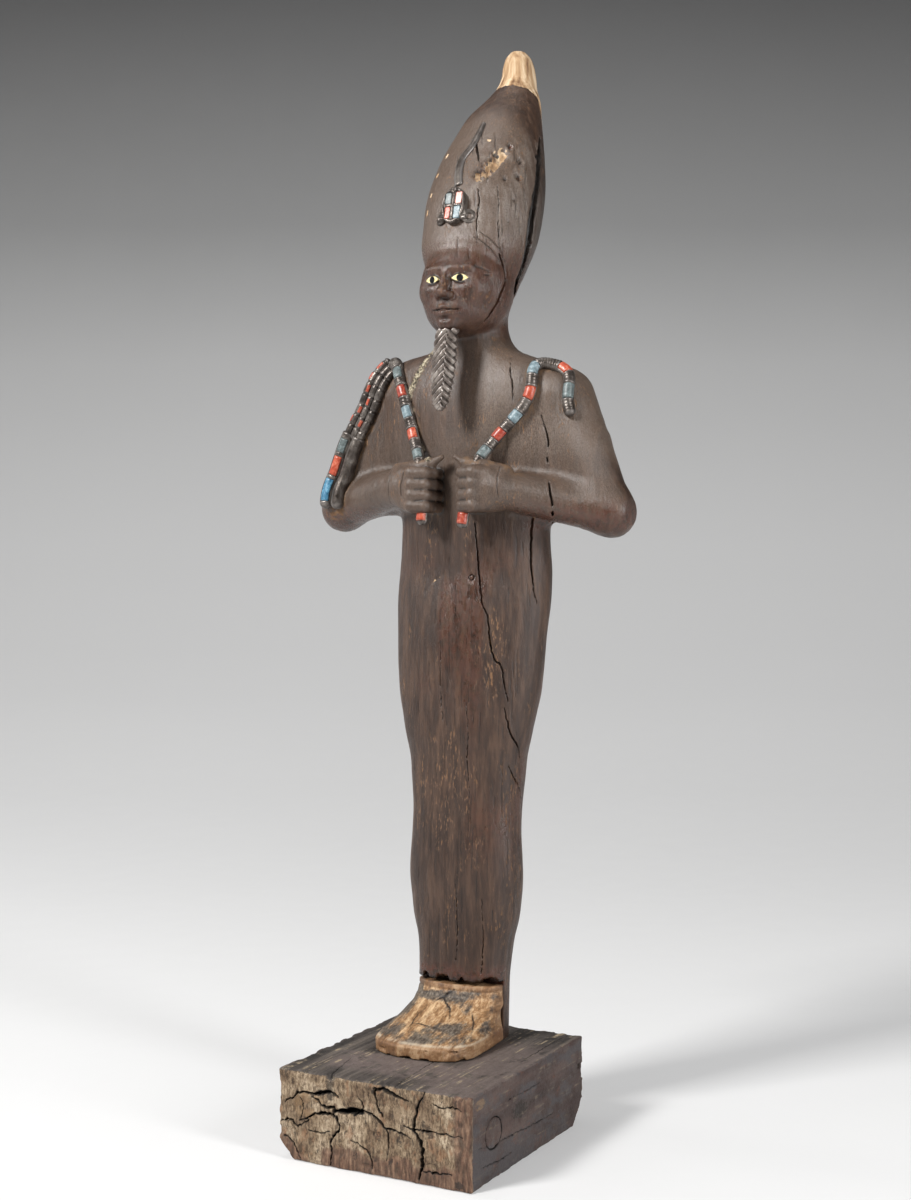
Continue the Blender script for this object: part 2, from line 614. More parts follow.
def plinth_wood():
    m = Nodes("weathered_plinth_wood")
    along = m.noise(150, (1, 0.05, 1), detail=5, rough=0.62)
    fine = m.noise(700, (1, 0.08, 1), detail=4, rough=0.6)
    mottled = m.noise(90, detail=5, rough=0.7)
    crumb = m.noise(520, detail=4, rough=0.75)
    # top and sides: dark, with tan scratches along the grain
    dark = m.ramp(along, [(0.33, (0.016, 0.013, 0.011)), (0.49, (0.052, 0.042, 0.036)), (0.64, (0.135, 0.112, 0.094))])
    side = m.ramp(m.noise(120, (1, 0.12, 0.6), detail=5), [(0.3, (0.024, 0.014, 0.012)), (0.52, (0.050, 0.030, 0.026)), (0.70, (0.095, 0.062, 0.052))])
    colour = m.mix(m.attribute("side"), dark, side)
    colour = m.mix(m.band(mottled, 0.40, 0.62, 0.0, 0.40), colour, (0.090, 0.074, 0.066))
    plain = m.attribute("plain")
    colour = m.mix(m.math("MULTIPLY", plain, m.band(m.noise(70, detail=5, rough=0.65), 0.34, 0.48)), colour, m.ramp(m.noise(300, (1, 0.4, 1), detail=3), [(0.3, (0.105, 0.078, 0.070)), (0.7, (0.150, 0.118, 0.106))]))
    scratch = m.math("MULTIPLY", m.band(m.noise(430, (1, 0.05, 1), detail=4, rough=0.6), 0.56, 0.64), m.band(mottled, 0.46, 0.60))
    scratch = m.math("MULTIPLY", scratch, m.math("SUBTRACT", 1.0, m.math("MULTIPLY", m.attribute("side"), 0.75)))
    colour = m.mix(m.math("MULTIPLY", scratch, 0.85), colour, (0.36, 0.285, 0.185))
    worn = m.band(m.noise(42, (1, 0.5, 1), detail=6, rough=0.65), 0.47, 0.56, 0.0, 0.75)
    colour = m.mix(m.math("MULTIPLY", worn, m.attribute("side")), colour, (0.062, 0.056, 0.058))
    rust = m.math("MULTIPLY", m.attribute("side"), m.band(m.noise(170, (1, 0.6, 1), detail=5), 0.60, 0.72))
    colour = m.mix(m.math("MULTIPLY", rust, 0.45), colour, (0.135, 0.052, 0.030))
    # end grain of the front
    fibre = m.noise(640, (1, 1, 0.38), detail=4, rough=0.75)
    end = m.ramp(fibre, [(0.34, (0.060, 0.042, 0.030)), (0.47, (0.205, 0.160, 0.115)), (0.60, (0.400, 0.340, 0.265))])
    tint = m.ramp(m.noise(55, detail=5, rough=0.6), [(0.36, (0.46, 0.36, 0.28)), (0.50, (0.80, 0.70, 0.58)), (0.64, (1.25, 1.18, 1.08))])
    end = m.mix(1.0, end, tint, "MULTIPLY")
    end = m.mix(m.band(m.noise(210, (1, 1, 0.6), detail=5), 0.55, 0.68, 0.0, 0.55), end, (0.235, 0.120, 0.062))
    end = m.mix(m.math("MULTIPLY", m.band(m.noise(330, (1, 1, 0.3), detail=4), 0.60, 0.70), 0.75), end, (0.040, 0.028, 0.020))
    colour = m.mix(m.attribute("end"), colour, end)
    brown = m.ramp(m.noise(420, (1, 1, 0.22), detail=4), [(0.35, (0.038, 0.018, 0.012)), (0.52, (0.115, 0.058, 0.037)), (0.66, (0.250, 0.150, 0.095))])
    colour = m.mix(m.band(m.math("ADD", m.attribute("brown"), m.math("MULTIPLY", m.math("SUBTRACT", m.noise(240, (1, 1, 0.5), detail=5), 0.5), 1.3)), 0.25, 0.85, 0.0, 0.85), colour, brown)
    ochre = m.band(m.math("ADD", m.attribute("ochre"), m.math("MULTIPLY", m.math("SUBTRACT", crumb, 0.5), 0.8)), 0.45, 0.65)
    colour = m.mix(m.math("MULTIPLY", m.math("MULTIPLY", ochre, 0.5), m.band(m.noise(150, detail=4, rough=0.7), 0.42, 0.6)), colour, (0.27, 0.165, 0.080))
    stain = m.band(m.math("ADD", m.attribute("stain"), m.math("MULTIPLY", m.math("SUBTRACT", crumb, 0.5), 1.4)), 0.45, 0.62)
    colour = m.mix(m.math("MULTIPLY", stain, 0.72), colour, (0.022, 0.017, 0.014))
    colour = m.mix(m.attribute("crack"), colour, (0.006, 0.005, 0.004))
    rough = m.ramp(crumb, [(0.3, 0.60), (0.7, 0.88)])
    height = m.math("ADD", m.math("MULTIPLY", along, 0.5), m.math("MULTIPLY", crumb, 0.5))
    normal = m.bump(height, 0.65, 0.0014)
    return m.done(colour, rough, normal, specular=0.4)


def old_metal(name="patinated_metal", light=1.0, warm=0.0):
    m = Nodes(name)
    cloud = m.noise(110, detail=4, rough=0.6)
    pit = m.noise(950, detail=4, rough=0.7)
    base = m.ramp(cloud, [(0.34, (0.036 * light, 0.028 * light, 0.024 * light)), (0.50, (0.085 * light, 0.070 * light, 0.061 * light)), (0.66, (0.19 * light, 0.168 * light, 0.150 * light))])
    base = m.mix(m.math("MULTIPLY", m.band(pit, 0.58, 0.70), 0.6), base, (0.24, 0.17, 0.11))
    worn = m.new("NewGeometry")
    edge = m.band(worn.outputs["Pointiness"], 0.52, 0.58)
    base = m.mix(m.math("MULTIPLY", edge, 0.6), base, (0.30 * light, 0.28 * light, 0.27 * light))
    if warm:
        base = m.mix(warm, base, (0.16, 0.075, 0.045))
    dirt = m.attribute("dark")
    base = m.mix(dirt, base, (0.010, 0.008, 0.007))
    rough = m.ramp(m.noise(380, detail=4), [(0.3, 0.26), (0.55, 0.38), (0.72, 0.58)])
    normal = m.bump(m.math("ADD", m.math("MULTIPLY", cloud, 0.5), m.math("MULTIPLY", pit, 0.5)), 0.35, 0.0006)
    return m.done(base, rough, normal, metallic=0.62)


def inlay_stone(name, low, mid, high, rough=0.22):
    m = Nodes(name)
    cloud = m.noise(420, detail=5, rough=0.65, distortion=0.6)
    vein = m.noise(1500, (1, 1, 0.4), detail=3, rough=0.7)
    colour = m.ramp(cloud, [(0.30, low), (0.50, mid), (0.70, high)])
    colour = m.mix(m.math("MULTIPLY", m.band(vein, 0.62, 0.72), 0.55), colour, tuple(c * 0.35 for c in low))
    r = m.ramp(vein, [(0.3, rough), (0.7, rough + 0.22)])
    normal = m.bump(m.math("ADD", m.math("MULTIPLY", cloud, 0.6), m.math("MULTIPLY", vein, 0.4)), 0.25, 0.0005)
    return m.done(colour, r, normal, specular=0.5)


FIGURE = figure_wood()
FOOTWOOD = pale_wood()
PLINTHWOOD = plinth_wood()
METAL = old_metal()
BEARD_METAL = old_metal("patinated_metal_beard", 2.1)
RED = inlay_stone("red_stone", (0.15, 0.018, 0.010), (0.33, 0.043, 0.024), (0.46, 0.15, 0.09))
ORANGE = inlay_stone("orange_red_stone", (0.22, 0.028, 0.012), (0.42, 0.066, 0.030), (0.56, 0.19, 0.12))
TEAL = inlay_stone("grey_green_glass", (0.040, 0.050, 0.050), (0.100, 0.125, 0.125), (0.22, 0.27, 0.275), 0.30)
SKY = inlay_stone("pale_blue_glass", (0.070, 0.100, 0.115), (0.165, 0.225, 0.250), (0.38, 0.47, 0.50), 0.30)
PINK = inlay_stone("pink_stone", (0.40, 0.12, 0.09), (0.58, 0.28, 0.23), (0.72, 0.48, 0.42))
BRIGHT = inlay_stone("bright_blue_glass", (0.015, 0.060, 0.11), (0.045, 0.17, 0.28), (0.20, 0.42, 0.56), 0.22)
WHITE = inlay_stone("eye_stone", (0.62, 0.47, 0.16), (0.84, 0.72, 0.36), (0.93, 0.87, 0.60), 0.30)
BLACK = inlay_stone("pupil_glass", (0.006, 0.006, 0.007), (0.012, 0.012, 0.014), (0.03, 0.03, 0.033), 0.08)

m = Nodes("studio_floor")
split = m.new("SeparateXYZ")
m.link(m.coord.outputs["Object"], split.inputs[0])
height = m.math("ADD", m.math("MULTIPLY", split.outputs["Z"], 0.5), m.math("MULTIPLY", m.math("SUBTRACT", m.noise(3, detail=2), 0.5), 0.02))
floor_tone = m.ramp(height, [(0.0, (0.56, 0.56, 0.56)), (0.05, (0.50, 0.50, 0.50)), (0.11, (0.44, 0.44, 0.44)), (0.20, (0.40, 0.40, 0.40)), (0.38, (0.34, 0.34, 0.34)), (0.52, (0.22, 0.22, 0.22)), (0.75, (0.10, 0.10, 0.10))])
glow = m.ramp(height, [(0.0, (0.26, 0.26, 0.26)), (0.05, (0.27, 0.27, 0.27)), (0.20, (0.25, 0.25, 0.25)), (0.38, (0.16, 0.16, 0.16)), (0.52, (0.08, 0.08, 0.08)), (0.75, (0.03, 0.03, 0.03))])
m.link(glow, m.bsdf.inputs["Emission Color"])
m.bsdf.inputs["Emission Strength"].default_value = 1.0
FLOOR = m.done(floor_tone, m.ramp(m.noise(30, detail=2), [(0.3, 0.55), (0.7, 0.65)]), specular=0.2)
bm = bmesh.new()
profile = [(-3.0, 0.0), (0.5, 0.0), (0.7, 0.0), (0.9, 0.0), (1.1, 0.008), (1.4, 0.035), (1.8, 0.14), (2.1, 0.34), (2.3, 0.65), (2.38, 1.1), (2.4, 3.2)]
lines = [[bm.verts.new((x, y, z - 0.0002)) for y, z in profile] for x in (-4.5, 4.5)]
for k in range(len(profile) - 1):
    bm.faces.new((lines[0][k], lines[1][k], lines[1][k + 1], lines[0][k + 1]))
mesh = bpy.data.meshes.new("floor")
bm.to_mesh(mesh)
bm.free()
mesh.materials.append(FLOOR)
mesh.shade_smooth()
floor = bpy.data.objects.new("floor", mesh)
bpy.context.scene.collection.objects.link(floor)
floor.rotation_euler = (0, 0, CAM_AZ)


# ---------------------------------------------------------------- the carved figure
class Build:
    """Adds and cuts fields, each worked out only near where it counts."""

    def __init__(self, p):
        self.p, self.f = p, np.full(p[0].shape, 1e3)

    def _near(self, low, high, pad=9.0):
        p = self.p
        return np.nonzero(
            (p[0] > low[0] - pad) & (p[0] < high[0] + pad) & (p[1] > low[1] - pad) & (p[1] < high[1] + pad) & (p[2] > low[2] - pad) & (p[2] < high[2] + pad)
        )[0]

    def add(self, low, high, field, k):
        i = self._near(low, high)
        if len(i):
            self.f[i] = smin(self.f[i], field([v[i] for v in self.p]), k) if k else np.minimum(self.f[i], field([v[i] for v in self.p]))

    def cut(self, low, high, field, k):
        i = self._near(low, high)
        if len(i):
            self.f[i] = smax(self.f[i], -field([v[i] for v in self.p]), k)

    def limb(self, a, ra, b, rb, k, flat=None):
        r = max(ra, rb)
        low = [min(i, j) - r for i, j in zip(a, b)]
        high = [max(i, j) + r for i, j in zip(a, b)]
        self.add(low, high, lambda q: capsule(q, a, ra, b, rb, flat), k)

    def groove(self, a, ra, b, rb, k):
        r = max(ra, rb)
        low = [min(i, j) - r for i, j in zip(a, b)]
        high = [max(i, j) + r for i, j in zip(a, b)]
        self.cut(low, high, lambda q: capsule(q, a, ra, b, rb), k)

    def ball(self, c, r, k):
        self.add([i - j for i, j in zip(c, r)], [i + j for i, j in zip(c, r)], lambda q: ellipsoid(q, c, r), k)

    def dent(self, c, r, k):
        self.cut([i - j for i, j in zip(c, r)], [i + j for i, j in zip(c, r)], lambda q: ellipsoid(q, c, r), k)


body_loft, crown_loft = Loft(BODY), Loft(CROWN)
SHOULDER, ELBOW, WRIST = ((63.0, 66.0, 477.0), 20.8), ((100.6, 58.0, 402.4), 14.2), ((45.0, 33.0, 415.0), 12.5)
FINGER_Z = [406.8 + 7.2 * k for k in range(4)]
RIGHT_LIFT = 5.5
CUFF = 43.0
PLINTH_TOP, FOOT_TOP, FOOT_JOINT = 56.7, 93.2, 43.5
# the channel in the crown: height, front and back edge
SLOT = np.array([
    (542, 67, 69.6), (548, 64, 68.5), (557, 63, 69), (566, 62.5, 69.5), (583, 60.5, 68.5), (596, 62.5, 70.5), (611, 68, 75.5), (630, 78, 85),
    (644, 86, 92), (652, 91.5, 96.5), (658, 96, 99.5),
], float)


def web(q):
    """The cloth stretched between body and arm."""
    f = np.clip((q[0] - 40) / 52, 0, 1)
    top, low = 494 - 40 * f**1.6, 396 + 2 * f
    h, c, t, cy = (top - low) / 2, (top + low) / 2, 22.5 - 9.5 * f, 62.5 - 3 * f
    qz, qy = (q[2] - c) / h, (q[1] - cy) / t
    r = np.sqrt(qz**2 + qy**2)
    rr = np.maximum(r, 0.05)
    g = np.sqrt((qz / rr / h) ** 2 + (qy / rr / t) ** 2)
    return np.maximum((r - 1) / np.maximum(g, 1e-4), np.maximum(40 - q[0], q[0] - 92))


def lift_of(x, z):
    rise = np.clip((z - 374) / 14, 0, 1) * np.clip((535 - z) / 25, 0, 1)
    return RIGHT_LIFT * step01(FIG_X - x, 18.0, 58.0) * rise


def figure_field(p):
    shape = np.shape(p[0])
    x, y, z = (np.ravel(np.asarray(v, float)) for v in p)
    zz = z - lift_of(x, z)
    a = np.abs(x - FIG_X)
    b = Build([a, y, zz])
    b.add((0, 20, 50), (75, 92, 556), body_loft, 0)
    # shoulders, sleeves and the cloth between
    b.limb(*SHOULDER, *ELBOW, 10.0)
    b.add((40, 38, 396), (92, 86, 494), web, 7.0)
    sleeve = lambda q: np.maximum(capsule(q, *ELBOW, *WRIST), CUFF - q[0] + 0.12 * (q[2] - 415))
    b.add((CUFF - 2, 15, 385), (116, 75, 432), sleeve, 9.0)
    # hands
    hand = Build(b.p)
    hand.limb((52.0, 36.0, 413.8), 11.2, (34.0, 28.0, 417.0), 12.6, 0)
    hand.ball((30.5, 26.0, 417.5), (16.0, 12.4, 14.8), 4.0)
    hand.limb((21.0, 26.0, 410.5), 8.2, (21.0, 26.0, 424.5), 8.2, 2.0)
    hand.limb((18.0, 34.0, 409.5), 7.0, (18.0, 34.0, 425.5), 7.0, 2.0)
    for fz in FINGER_Z:
        hand.limb((30.0, 20.5, 417 + (fz - 417) * 0.85), 5.6, (22.0, 15.2, fz), 4.6, 3.4)
    for k, fz in enumerate(FINGER_Z):
        shift = (-0.6, 0.3, 0.6, 0.0)[k]
        finger = Build(b.p)
        finger.limb((22.5, 14.6, fz), 4.5, (14.2, 17.2 + shift * 0.5, fz), 4.3, 0)
        finger.limb((14.2, 17.6 + shift * 0.5, fz), 4.15, (12.0 - shift * 0.4, 24.0, fz - 0.2), 3.9, 1.0)
        finger.limb((12.0 - shift * 0.4, 24.0, fz - 0.2), 3.9, (12.4, 31.5, fz - 0.4), 3.6, 1.0)
        finger.limb((12.4, 31.5, fz - 0.4), 3.6, (16.5, 35.5, fz - 0.4), 3.4, 1.0)
        hand.f = smin(hand.f, finger.f, 0.6)
    hand.limb((38.0, 28.0, 427.0), 6.5, (25.0, 24.0, 431.6), 5.4, 2.0)
    hand.limb((25.0, 24.0, 431.6), 5.0, (13.0, 23.6, 434.8), 4.2, 1.2)
    hand.limb((13.0, 23.6, 434.8), 4.0, (6.0, 24.5, 438.6), 2.4, 1.0, flat=((0.5, 0.0, 1.0), 1.3))
    b.f = smin(b.f, hand.f, 1.2)
    # head
    b.add((0, 10, 530), (45, 145, 727), crown_loft, 2.0)
    head = Build(b.p)
    head.ball((0.0, 50.0, 551.0), (30.8, 31.0, 35.0), 0)
    head.ball((0.0, 39.0, 534.5), (20.5, 20.5, 14.5), 6.0)
    head.ball((14.5, 31.0, 547.5), (9.5, 8.5, 9.5), 5.0)
    head.ball((0.0, 24.4, 525.8), (8.2, 6.8, 6.2), 3.5)
    head.ball((0.0, 23.6, 535.0), (10.0, 6.5, 7.5), 4.5)
    # the eyes lie in shallow hollows under the brow
    head.limb((3.0, 21.2, 561.2), 2.3, (15.5, 24.6, 561.2), 1.7, 3.5)
    head.dent((11.0, 16.4, 556.4), (7.0, 4.6, 3.0), 2.2)
    head.dent((10.8, 17.0, 550.4), (6.8, 3.8, 2.2), 2.2)
    head.dent((4.8, 17.4, 553.6), (2.4, 3.6, 4.6), 2.2)
    head.limb((0.0, 21.6, 560.4), 2.6, (0.0, 15.6, 546.6), 3.0, 2.0)
    head.ball((0.0, 14.8, 544.9), (4.1, 4.2, 3.5), 1.4)
    head.ball((4.3, 18.0, 543.0), (2.8, 3.4, 2.7), 1.0)
    head.dent((2.5, 16.0, 540.7), (1.2, 1.8, 1.1), 0.5)
    # mouth
    head.limb((0.9, 18.0, 535.8), 2.3, (8.6, 21.0, 534.2), 1.15, 1.0)
    head.limb((0.0, 17.9, 531.4), 2.7, (6.6, 20.2, 532.2), 1.5, 1.0)
    head.groove((0.0, 15.4, 533.7), 0.6, (9.0, 19.8, 533.9), 0.42, 0.4)
    head.groove((0.0, 16.7, 539.7), 0.9, (0.0, 15.9, 537.8), 0.7, 1.2)
    head.dent((10.4, 19.4, 533.8), (1.3, 1.4, 1.2), 1.2)
    head.dent((0.0, 16.6, 527.9), (6.0, 2.2, 1.3), 1.6)
    b.f = smin(b.f, head.f, 2.5)
    f = b.f
    # carving and shrinkage: slow unevenness, and ridges along the grain
    f = f + 0.55 * (fractal(x / 19, y / 19, z / 34, 1, 2) - 0.5)
    face = step01(y, 42, 30) * step01(z, 518, 526) * step01(z, 582, 572)
    f = f + 0.42 * (fractal(x / 2.9, y / 2.9, z / 42, 2, 2) - 0.5) * (1 - 0.75 * face)
    # the channel down each side of the crown's back
    wall = crown_loft([a, y, z])
    front, back = (np.interp(z, SLOT[:, 0], SLOT[:, k]) for k in (1, 2))
    ragged = 1.2 * (noise(0 * x, 0 * y, z / 4.5, 8) - 0.5)
    channel = np.maximum(np.maximum(front + ragged - y, y - back), np.maximum(-(wall + 4.2), np.maximum(SLOT[0, 0] - z, z - SLOT[-1, 0])))
    f = smax(f, -np.maximum(channel, 8 - a), 0.5)
    # what the foot block takes, with the ragged break over it
    ragged = 94.6 + 3.4 * step01(noise(x / 5.5, y / 9, 0 * z, 3), 0.45, 0.8) + 1.5 * noise(x / 1.9, y / 4, 0 * z, 4)
    room = np.maximum(y - (FOOT_JOINT + 0.35), z - ragged)
    f = smax(f, -room, 0.4)
    f = np.maximum(f, PLINTH_TOP - z)
    return f.reshape(shape)


def curve(points, step):
    """A smooth curve through points, at about even steps."""
    p = np.array(points, float)
    q = np.vstack([2 * p[0] - p[1], p, 2 * p[-1] - p[-2]])
    out = []
    for i in range(len(p) - 1):
        a, b, c, d = q[i : i + 4]
        n = max(1, round(np.linalg.norm(c - b) / step))
        for t in np.arange(n) / n:
            out.append(0.5 * (2 * b + (c - a) * t + (2 * a - 5 * b + 4 * c - d) * t * t + (3 * b - a - 3 * c + d) * t**3))
    out.append(p[-1])
    return np.array(out)


class Route:
    """A path on the carved surface, with its outward directions. Below `free_below` its points keep their place."""

    def __init__(self, points, lift, free_below=-1e9, smooth=3, step=2.5):
        p = curve(points, step)
        o = np.tile([0.0, -1.0, 0.0], (len(p), 1))
        on = p[:, 2] >= free_below
        q = p[on].copy()
        for _ in range(4):
            base, n = gradient(figure_field, list(q.T), 0.6)
            q = q - n * base[:, None]
        n = gradient(figure_field, list(q.T), 1.5)[1]
        p[on] = q + n * lift
        o[on] = n
        for _ in range(smooth):
            p[1:-1] = (p[:-2] + 2 * p[1:-1] + p[2:]) / 4
        for _ in range(14):
            e = np.vstack([2 * o[0] + o[1], o[:-2] + 2 * o[1:-1] + o[2:], 2 * o[-1] + o[-2]])
            o = e / np.linalg.norm(e, axis=1, keepdims=True)
        self.p, self.o = p, o
        self.s = np.append(0, np.cumsum(np.linalg.norm(np.diff(p, axis=0), axis=1)))
        self.length = self.s[-1]
        t = np.gradient(p, self.s, axis=0)
        self.t = t / np.linalg.norm(t, axis=1, keepdims=True)

    def at(self, s):
        """Place, tangent, outward and sideways directions at lengths along the route."""
        p, t, o = (np.stack([np.interp(s, self.s, v[:, k]) for k in range(3)], -1) for v in (self.p, self.t, self.o))
        t /= np.linalg.norm(t, axis=-1, keepdims=True)
        o = o - t * (o * t).sum(-1, keepdims=True)
        o /= np.linalg.norm(o, axis=-1, keepdims=True)
        return p, t, o, np.cross(t, o)


def grid_faces(rows, cols, start, wrap):
    """Triangles of a grid of vertices, row after row."""
    r, c = np.meshgrid(np.arange(rows - 1), np.arange(cols if wrap else cols - 1), indexing="ij")
    a, b = (r * cols + c).ravel(), (r * cols + (c + 1) % cols).ravel()
    d, e = a + cols, b + cols
    return np.vstack([np.stack([a, b, e], 1), np.stack([a, e, d], 1)]) + start


def sweep(route, s0, s1, radius, count=28, step=0.8, shift=0.0, size=3.8, round0=1.0, round1=1.0):
    """A closed tube on part of a route. radius(s, angle) in mm, the angle counted from the outward direction; the ends are rounded
    over a length of `size` times round0 and round1."""
    n = max(2, int(round((s1 - s0) / step)))
    arcs = np.radians([84, 66, 48, 32, 16])
    rows = [(s0, -math.sin(f) * size * round0, math.cos(f)) for f in arcs] + [(s0 + (s1 - s0) * k / n, 0.0, 1.0) for k in range(n + 1)]
    rows += [(s1, math.sin(f) * size * round1, math.cos(f)) for f in arcs[::-1]]
    s, along, scale = np.array(rows).T
    p, t, o, w = route.at(s)
    c = p + w * shift + t * along[:, None]
    ang = 2 * math.pi * np.arange(count) / count
    A, S = np.meshgrid(ang, s)
    A = (A + math.pi) % (2 * math.pi) - math.pi
    r = radius(S, A) * scale[:, None]
    v = c[:, None] + (o[:, None] * np.cos(A)[..., None] + w[:, None] * np.sin(A)[..., None]) * r[..., None]
    v = v.reshape(-1, 3)
    faces = grid_faces(len(s), count, 0, True)
    ends = []
    for row, centre, flip in ((0, c[0] - t[0] * 0.02, 1), (len(s) - 1, c[-1] + t[-1] * 0.02, 0)):
        i = len(v)
        v = np.vstack([v, centre])
        k = np.arange(count)
        a, b = row * count + k, row * count + (k + 1) % count
        ends.append(np.stack([np.full(count, i), b, a] if flip else [np.full(count, i), a, b], 1))
    faces = np.vstack([faces, *ends])
    return v, faces[:, ::-1]


def tile(route, s0, s1, half, r_out, r_in, shift=0.0, turn=0.0, step=0.7, edge=0.7, drop=0.55):
    """A plate let into the outer side of a tube on a route, its edges rounded over. Angles in degrees."""
    n = max(4, int(round((s1 - s0) / step)))
    m = max(6, int(round(math.radians(2 * half) * r_out / step)))
    S, A = np.meshgrid(s0 + (s1 - s0) * np.arange(n + 1) / n, np.radians(turn + half * (2 * np.arange(m + 1) / m - 1)), indexing="ij")
    p, t, o, w = (v[:, None] for v in route.at(S[:, 0]))
    near = np.minimum(np.minimum(S - s0, s1 - S), (math.radians(half) - np.abs(A - math.radians(turn))) * r_out)
    outer = r_out - drop * np.clip(1 - near / edge, 0, 1) ** 2
    way = o * np.cos(A)[..., None] + w * np.sin(A)[..., None]
    top = (p + w * shift + way * outer[..., None]).reshape(-1, 3)
    low = (p + w * shift + way * r_in).reshape(-1, 3)
    v = np.vstack([top, low])
    f = grid_faces(n + 1, m + 1, 0, False)
    g = grid_faces(n + 1, m + 1, len(top), False)[:, ::-1]
    ids = np.arange((n + 1) * (m + 1)).reshape(n + 1, m + 1)
    rim = np.concatenate([ids[0, :-1], ids[:-1, -1], ids[-1, :0:-1], ids[:0:-1, 0]])
    a, b = rim, np.roll(rim, -1)
    off = len(top)
    side = np.vstack([np.stack([b, a, a + off], 1), np.stack([b, a + off, b + off], 1)])
    return v, np.vstack([f, g, side])


def joined(parts):
    verts, faces, n = [], [], 0
    for v, f in parts:
        verts.append(v)
        faces.append(f + n)
        n += len(v)
    return np.vstack(verts), np.vstack(faces)


def facing_out(obj):
    bm = bmesh.new()
    bm.from_mesh(obj.data)
    bmesh.ops.recalc_face_normals(bm, faces=bm.faces)
    bm.to_mesh(obj.data)
    bm.free()
    obj.data.update()


def piece(name, data, mats, slot, *nodes):
    obj = make(name, data[0], data[1], mats)
    facing_out(obj)
    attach(obj, "root")
    if nodes:
        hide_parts(*nodes)
    return obj


SHAFT_R = 3.8
CROOK = [
    (9.5, 17.5, 393.5), (10.5, 18.5, 403), (13, 20, 418), (17.6, 23.4, 434.9), (22.6, 29.2, 444.6), (28, 32.6, 452.3), (34.4, 35.6, 460),
    (39.2, 37.6, 465.4), (44.8, 39.4, 473.4), (47.6, 40.6, 479.9), (48.2, 42, 485.8), (47.2, 43.4, 491.6), (48.2, 45.4, 497.6),
    (51.4, 48.4, 502.4), (57.6, 50, 503.6), (65, 50.4, 501.4), (69.8, 50.2, 496.6), (71.2, 49.4, 490.6), (70.8, 48.4, 484.6),
    (70.6, 47, 478), (71.4, 45.8, 471), (73.8, 45, 464.6),
]
HANDLE = [
    (-20.5, 17.5, 396), (-21, 18.8, 406), (-22.6, 20, 420), (-26.2, 24.5, 437.5), (-31.6, 29.5, 447.5), (-35.6, 32.6, 456.2),
    (-38.4, 34.6, 463.4), (-41.2, 36, 471.5), (-43.8, 37.6, 479.8), (-47.4, 40, 488.9), (-52.4, 43.6, 499), (-58.4, 47.4, 507.4),
]
STRANDS = [
    (-60.5, 47.5, 505), (-65, 47, 497), (-69.5, 46.4, 489), (-77, 45.6, 473.6), (-86, 45.6, 456.4), (-92.8, 45.6, 440.8),
    (-98.6, 45, 424.5), (-101.8, 44.6, 408),
]
crook_route = Route(CROOK, 2.4, 456)
handle_route = Route(HANDLE, 2.4, 460)
strand_route = Route(STRANDS, 2.7, smooth=4)
# the strands are one stiff piece, which faces the front more than the sleeve under it
strand_route.o = strand_route.o * 0.5 + np.array([0.15, -1.0, 0.05]) * 0.5
CROOK_INLAYS = [
    (1.5, 9, RED), (46.5, 54.5, TEAL), (62, 70, RED), (78, 85.5, SKY), (95.5, 103.5, ORANGE), (112, 120, SKY), (136, 144, ORANGE),
    (152.5, 162.5, TEAL),
]
HANDLE_INLAYS = [(1.5, 8, ORANGE), (43.5, 50.5, TEAL), (59.8, 67.8, ORANGE), (76.5, 84.5, SKY), (91.5, 99.5, RED), (105.5, 114, TEAL)]


def banded(inlays, base, flare=None, half=78.0):
    """The radius of a tube with a sunk bed under each inlay, a thin ring at each end of it and fine bands between."""

    def radius(s, a):
        r = np.full(np.shape(s), base)
        calm = np.ones(np.shape(s))
        for s0, s1, _ in inlays:
            inside = step01(s, s0 - 0.25, s0 + 0.05) * step01(s, s1 + 0.25, s1 - 0.05)
            r = r - 0.95 * inside * (np.abs(a) < math.radians(half + 5))
            for e in (s0 - 0.8, s1 + 0.8):
                r = r + 0.34 * np.exp(-(((s - e) / 0.5) ** 2))
            calm = calm * (1 - step01(s, s0 - 1.8, s0 - 0.6) * step01(s, s1 + 1.8, s1 + 0.6))
        r = r + 0.11 * calm * np.sin(2 * math.pi * s / 1.9 + 0.4 * np.sin(s / 7))
        if flare:
            r = r + flare(s)
        return r

    return radius


crook = piece("statue_crook", sweep(crook_route, 2, crook_route.length - 2, banded(CROOK_INLAYS, SHAFT_R), 30, 0.45, size=3.2), METAL, "dark_metal", "crook")
SLOT_OF = {RED: "red_inlay", ORANGE: "red_inlay", PINK: "red_inlay", TEAL: "blue_inlay", SKY: "blue_inlay", BRIGHT: "blue_inlay"}
for k, (s0, s1, mat) in enumerate(CROOK_INLAYS):
    piece(f"statue_crook_inlay_{k + 1}", tile(crook_route, s0, s1, 78, 3.90, 2.85), mat, "pale_inlay" if k == 5 else SLOT_OF[mat], f"crook_inlay_{k + 1}")

handle_len = handle_route.length
flare = lambda s: 0.9 * step01(s, handle_len - 9, handle_len - 3) + 0.25 * np.exp(-(((s - handle_len + 8.2) / 0.5) ** 2))
parts = [sweep(handle_route, 2, handle_len, banded(HANDLE_INLAYS, 3.7, flare), 30, 0.45, size=3.8, round0=0.9)]
strand_len = strand_route.length
COLUMNS_END, ROWS, COLUMN_R, TUBE_R = 57.0, 7, 2.85, 4.75
BEAD = (COLUMNS_END - 2) / ROWS


def beads(offset):
    def radius(s, a):
        f = ((s - 2 - offset) / BEAD) % 1.0
        barrel = 1 - np.abs(2 * f - 1) ** 7
        return COLUMN_R * (0.80 + 0.20 * barrel) + 0.10 * np.exp(-(((f - 0.14) / 0.05) ** 2)) + 0.10 * np.exp(-(((f - 0.86) / 0.05) ** 2))

    return radius


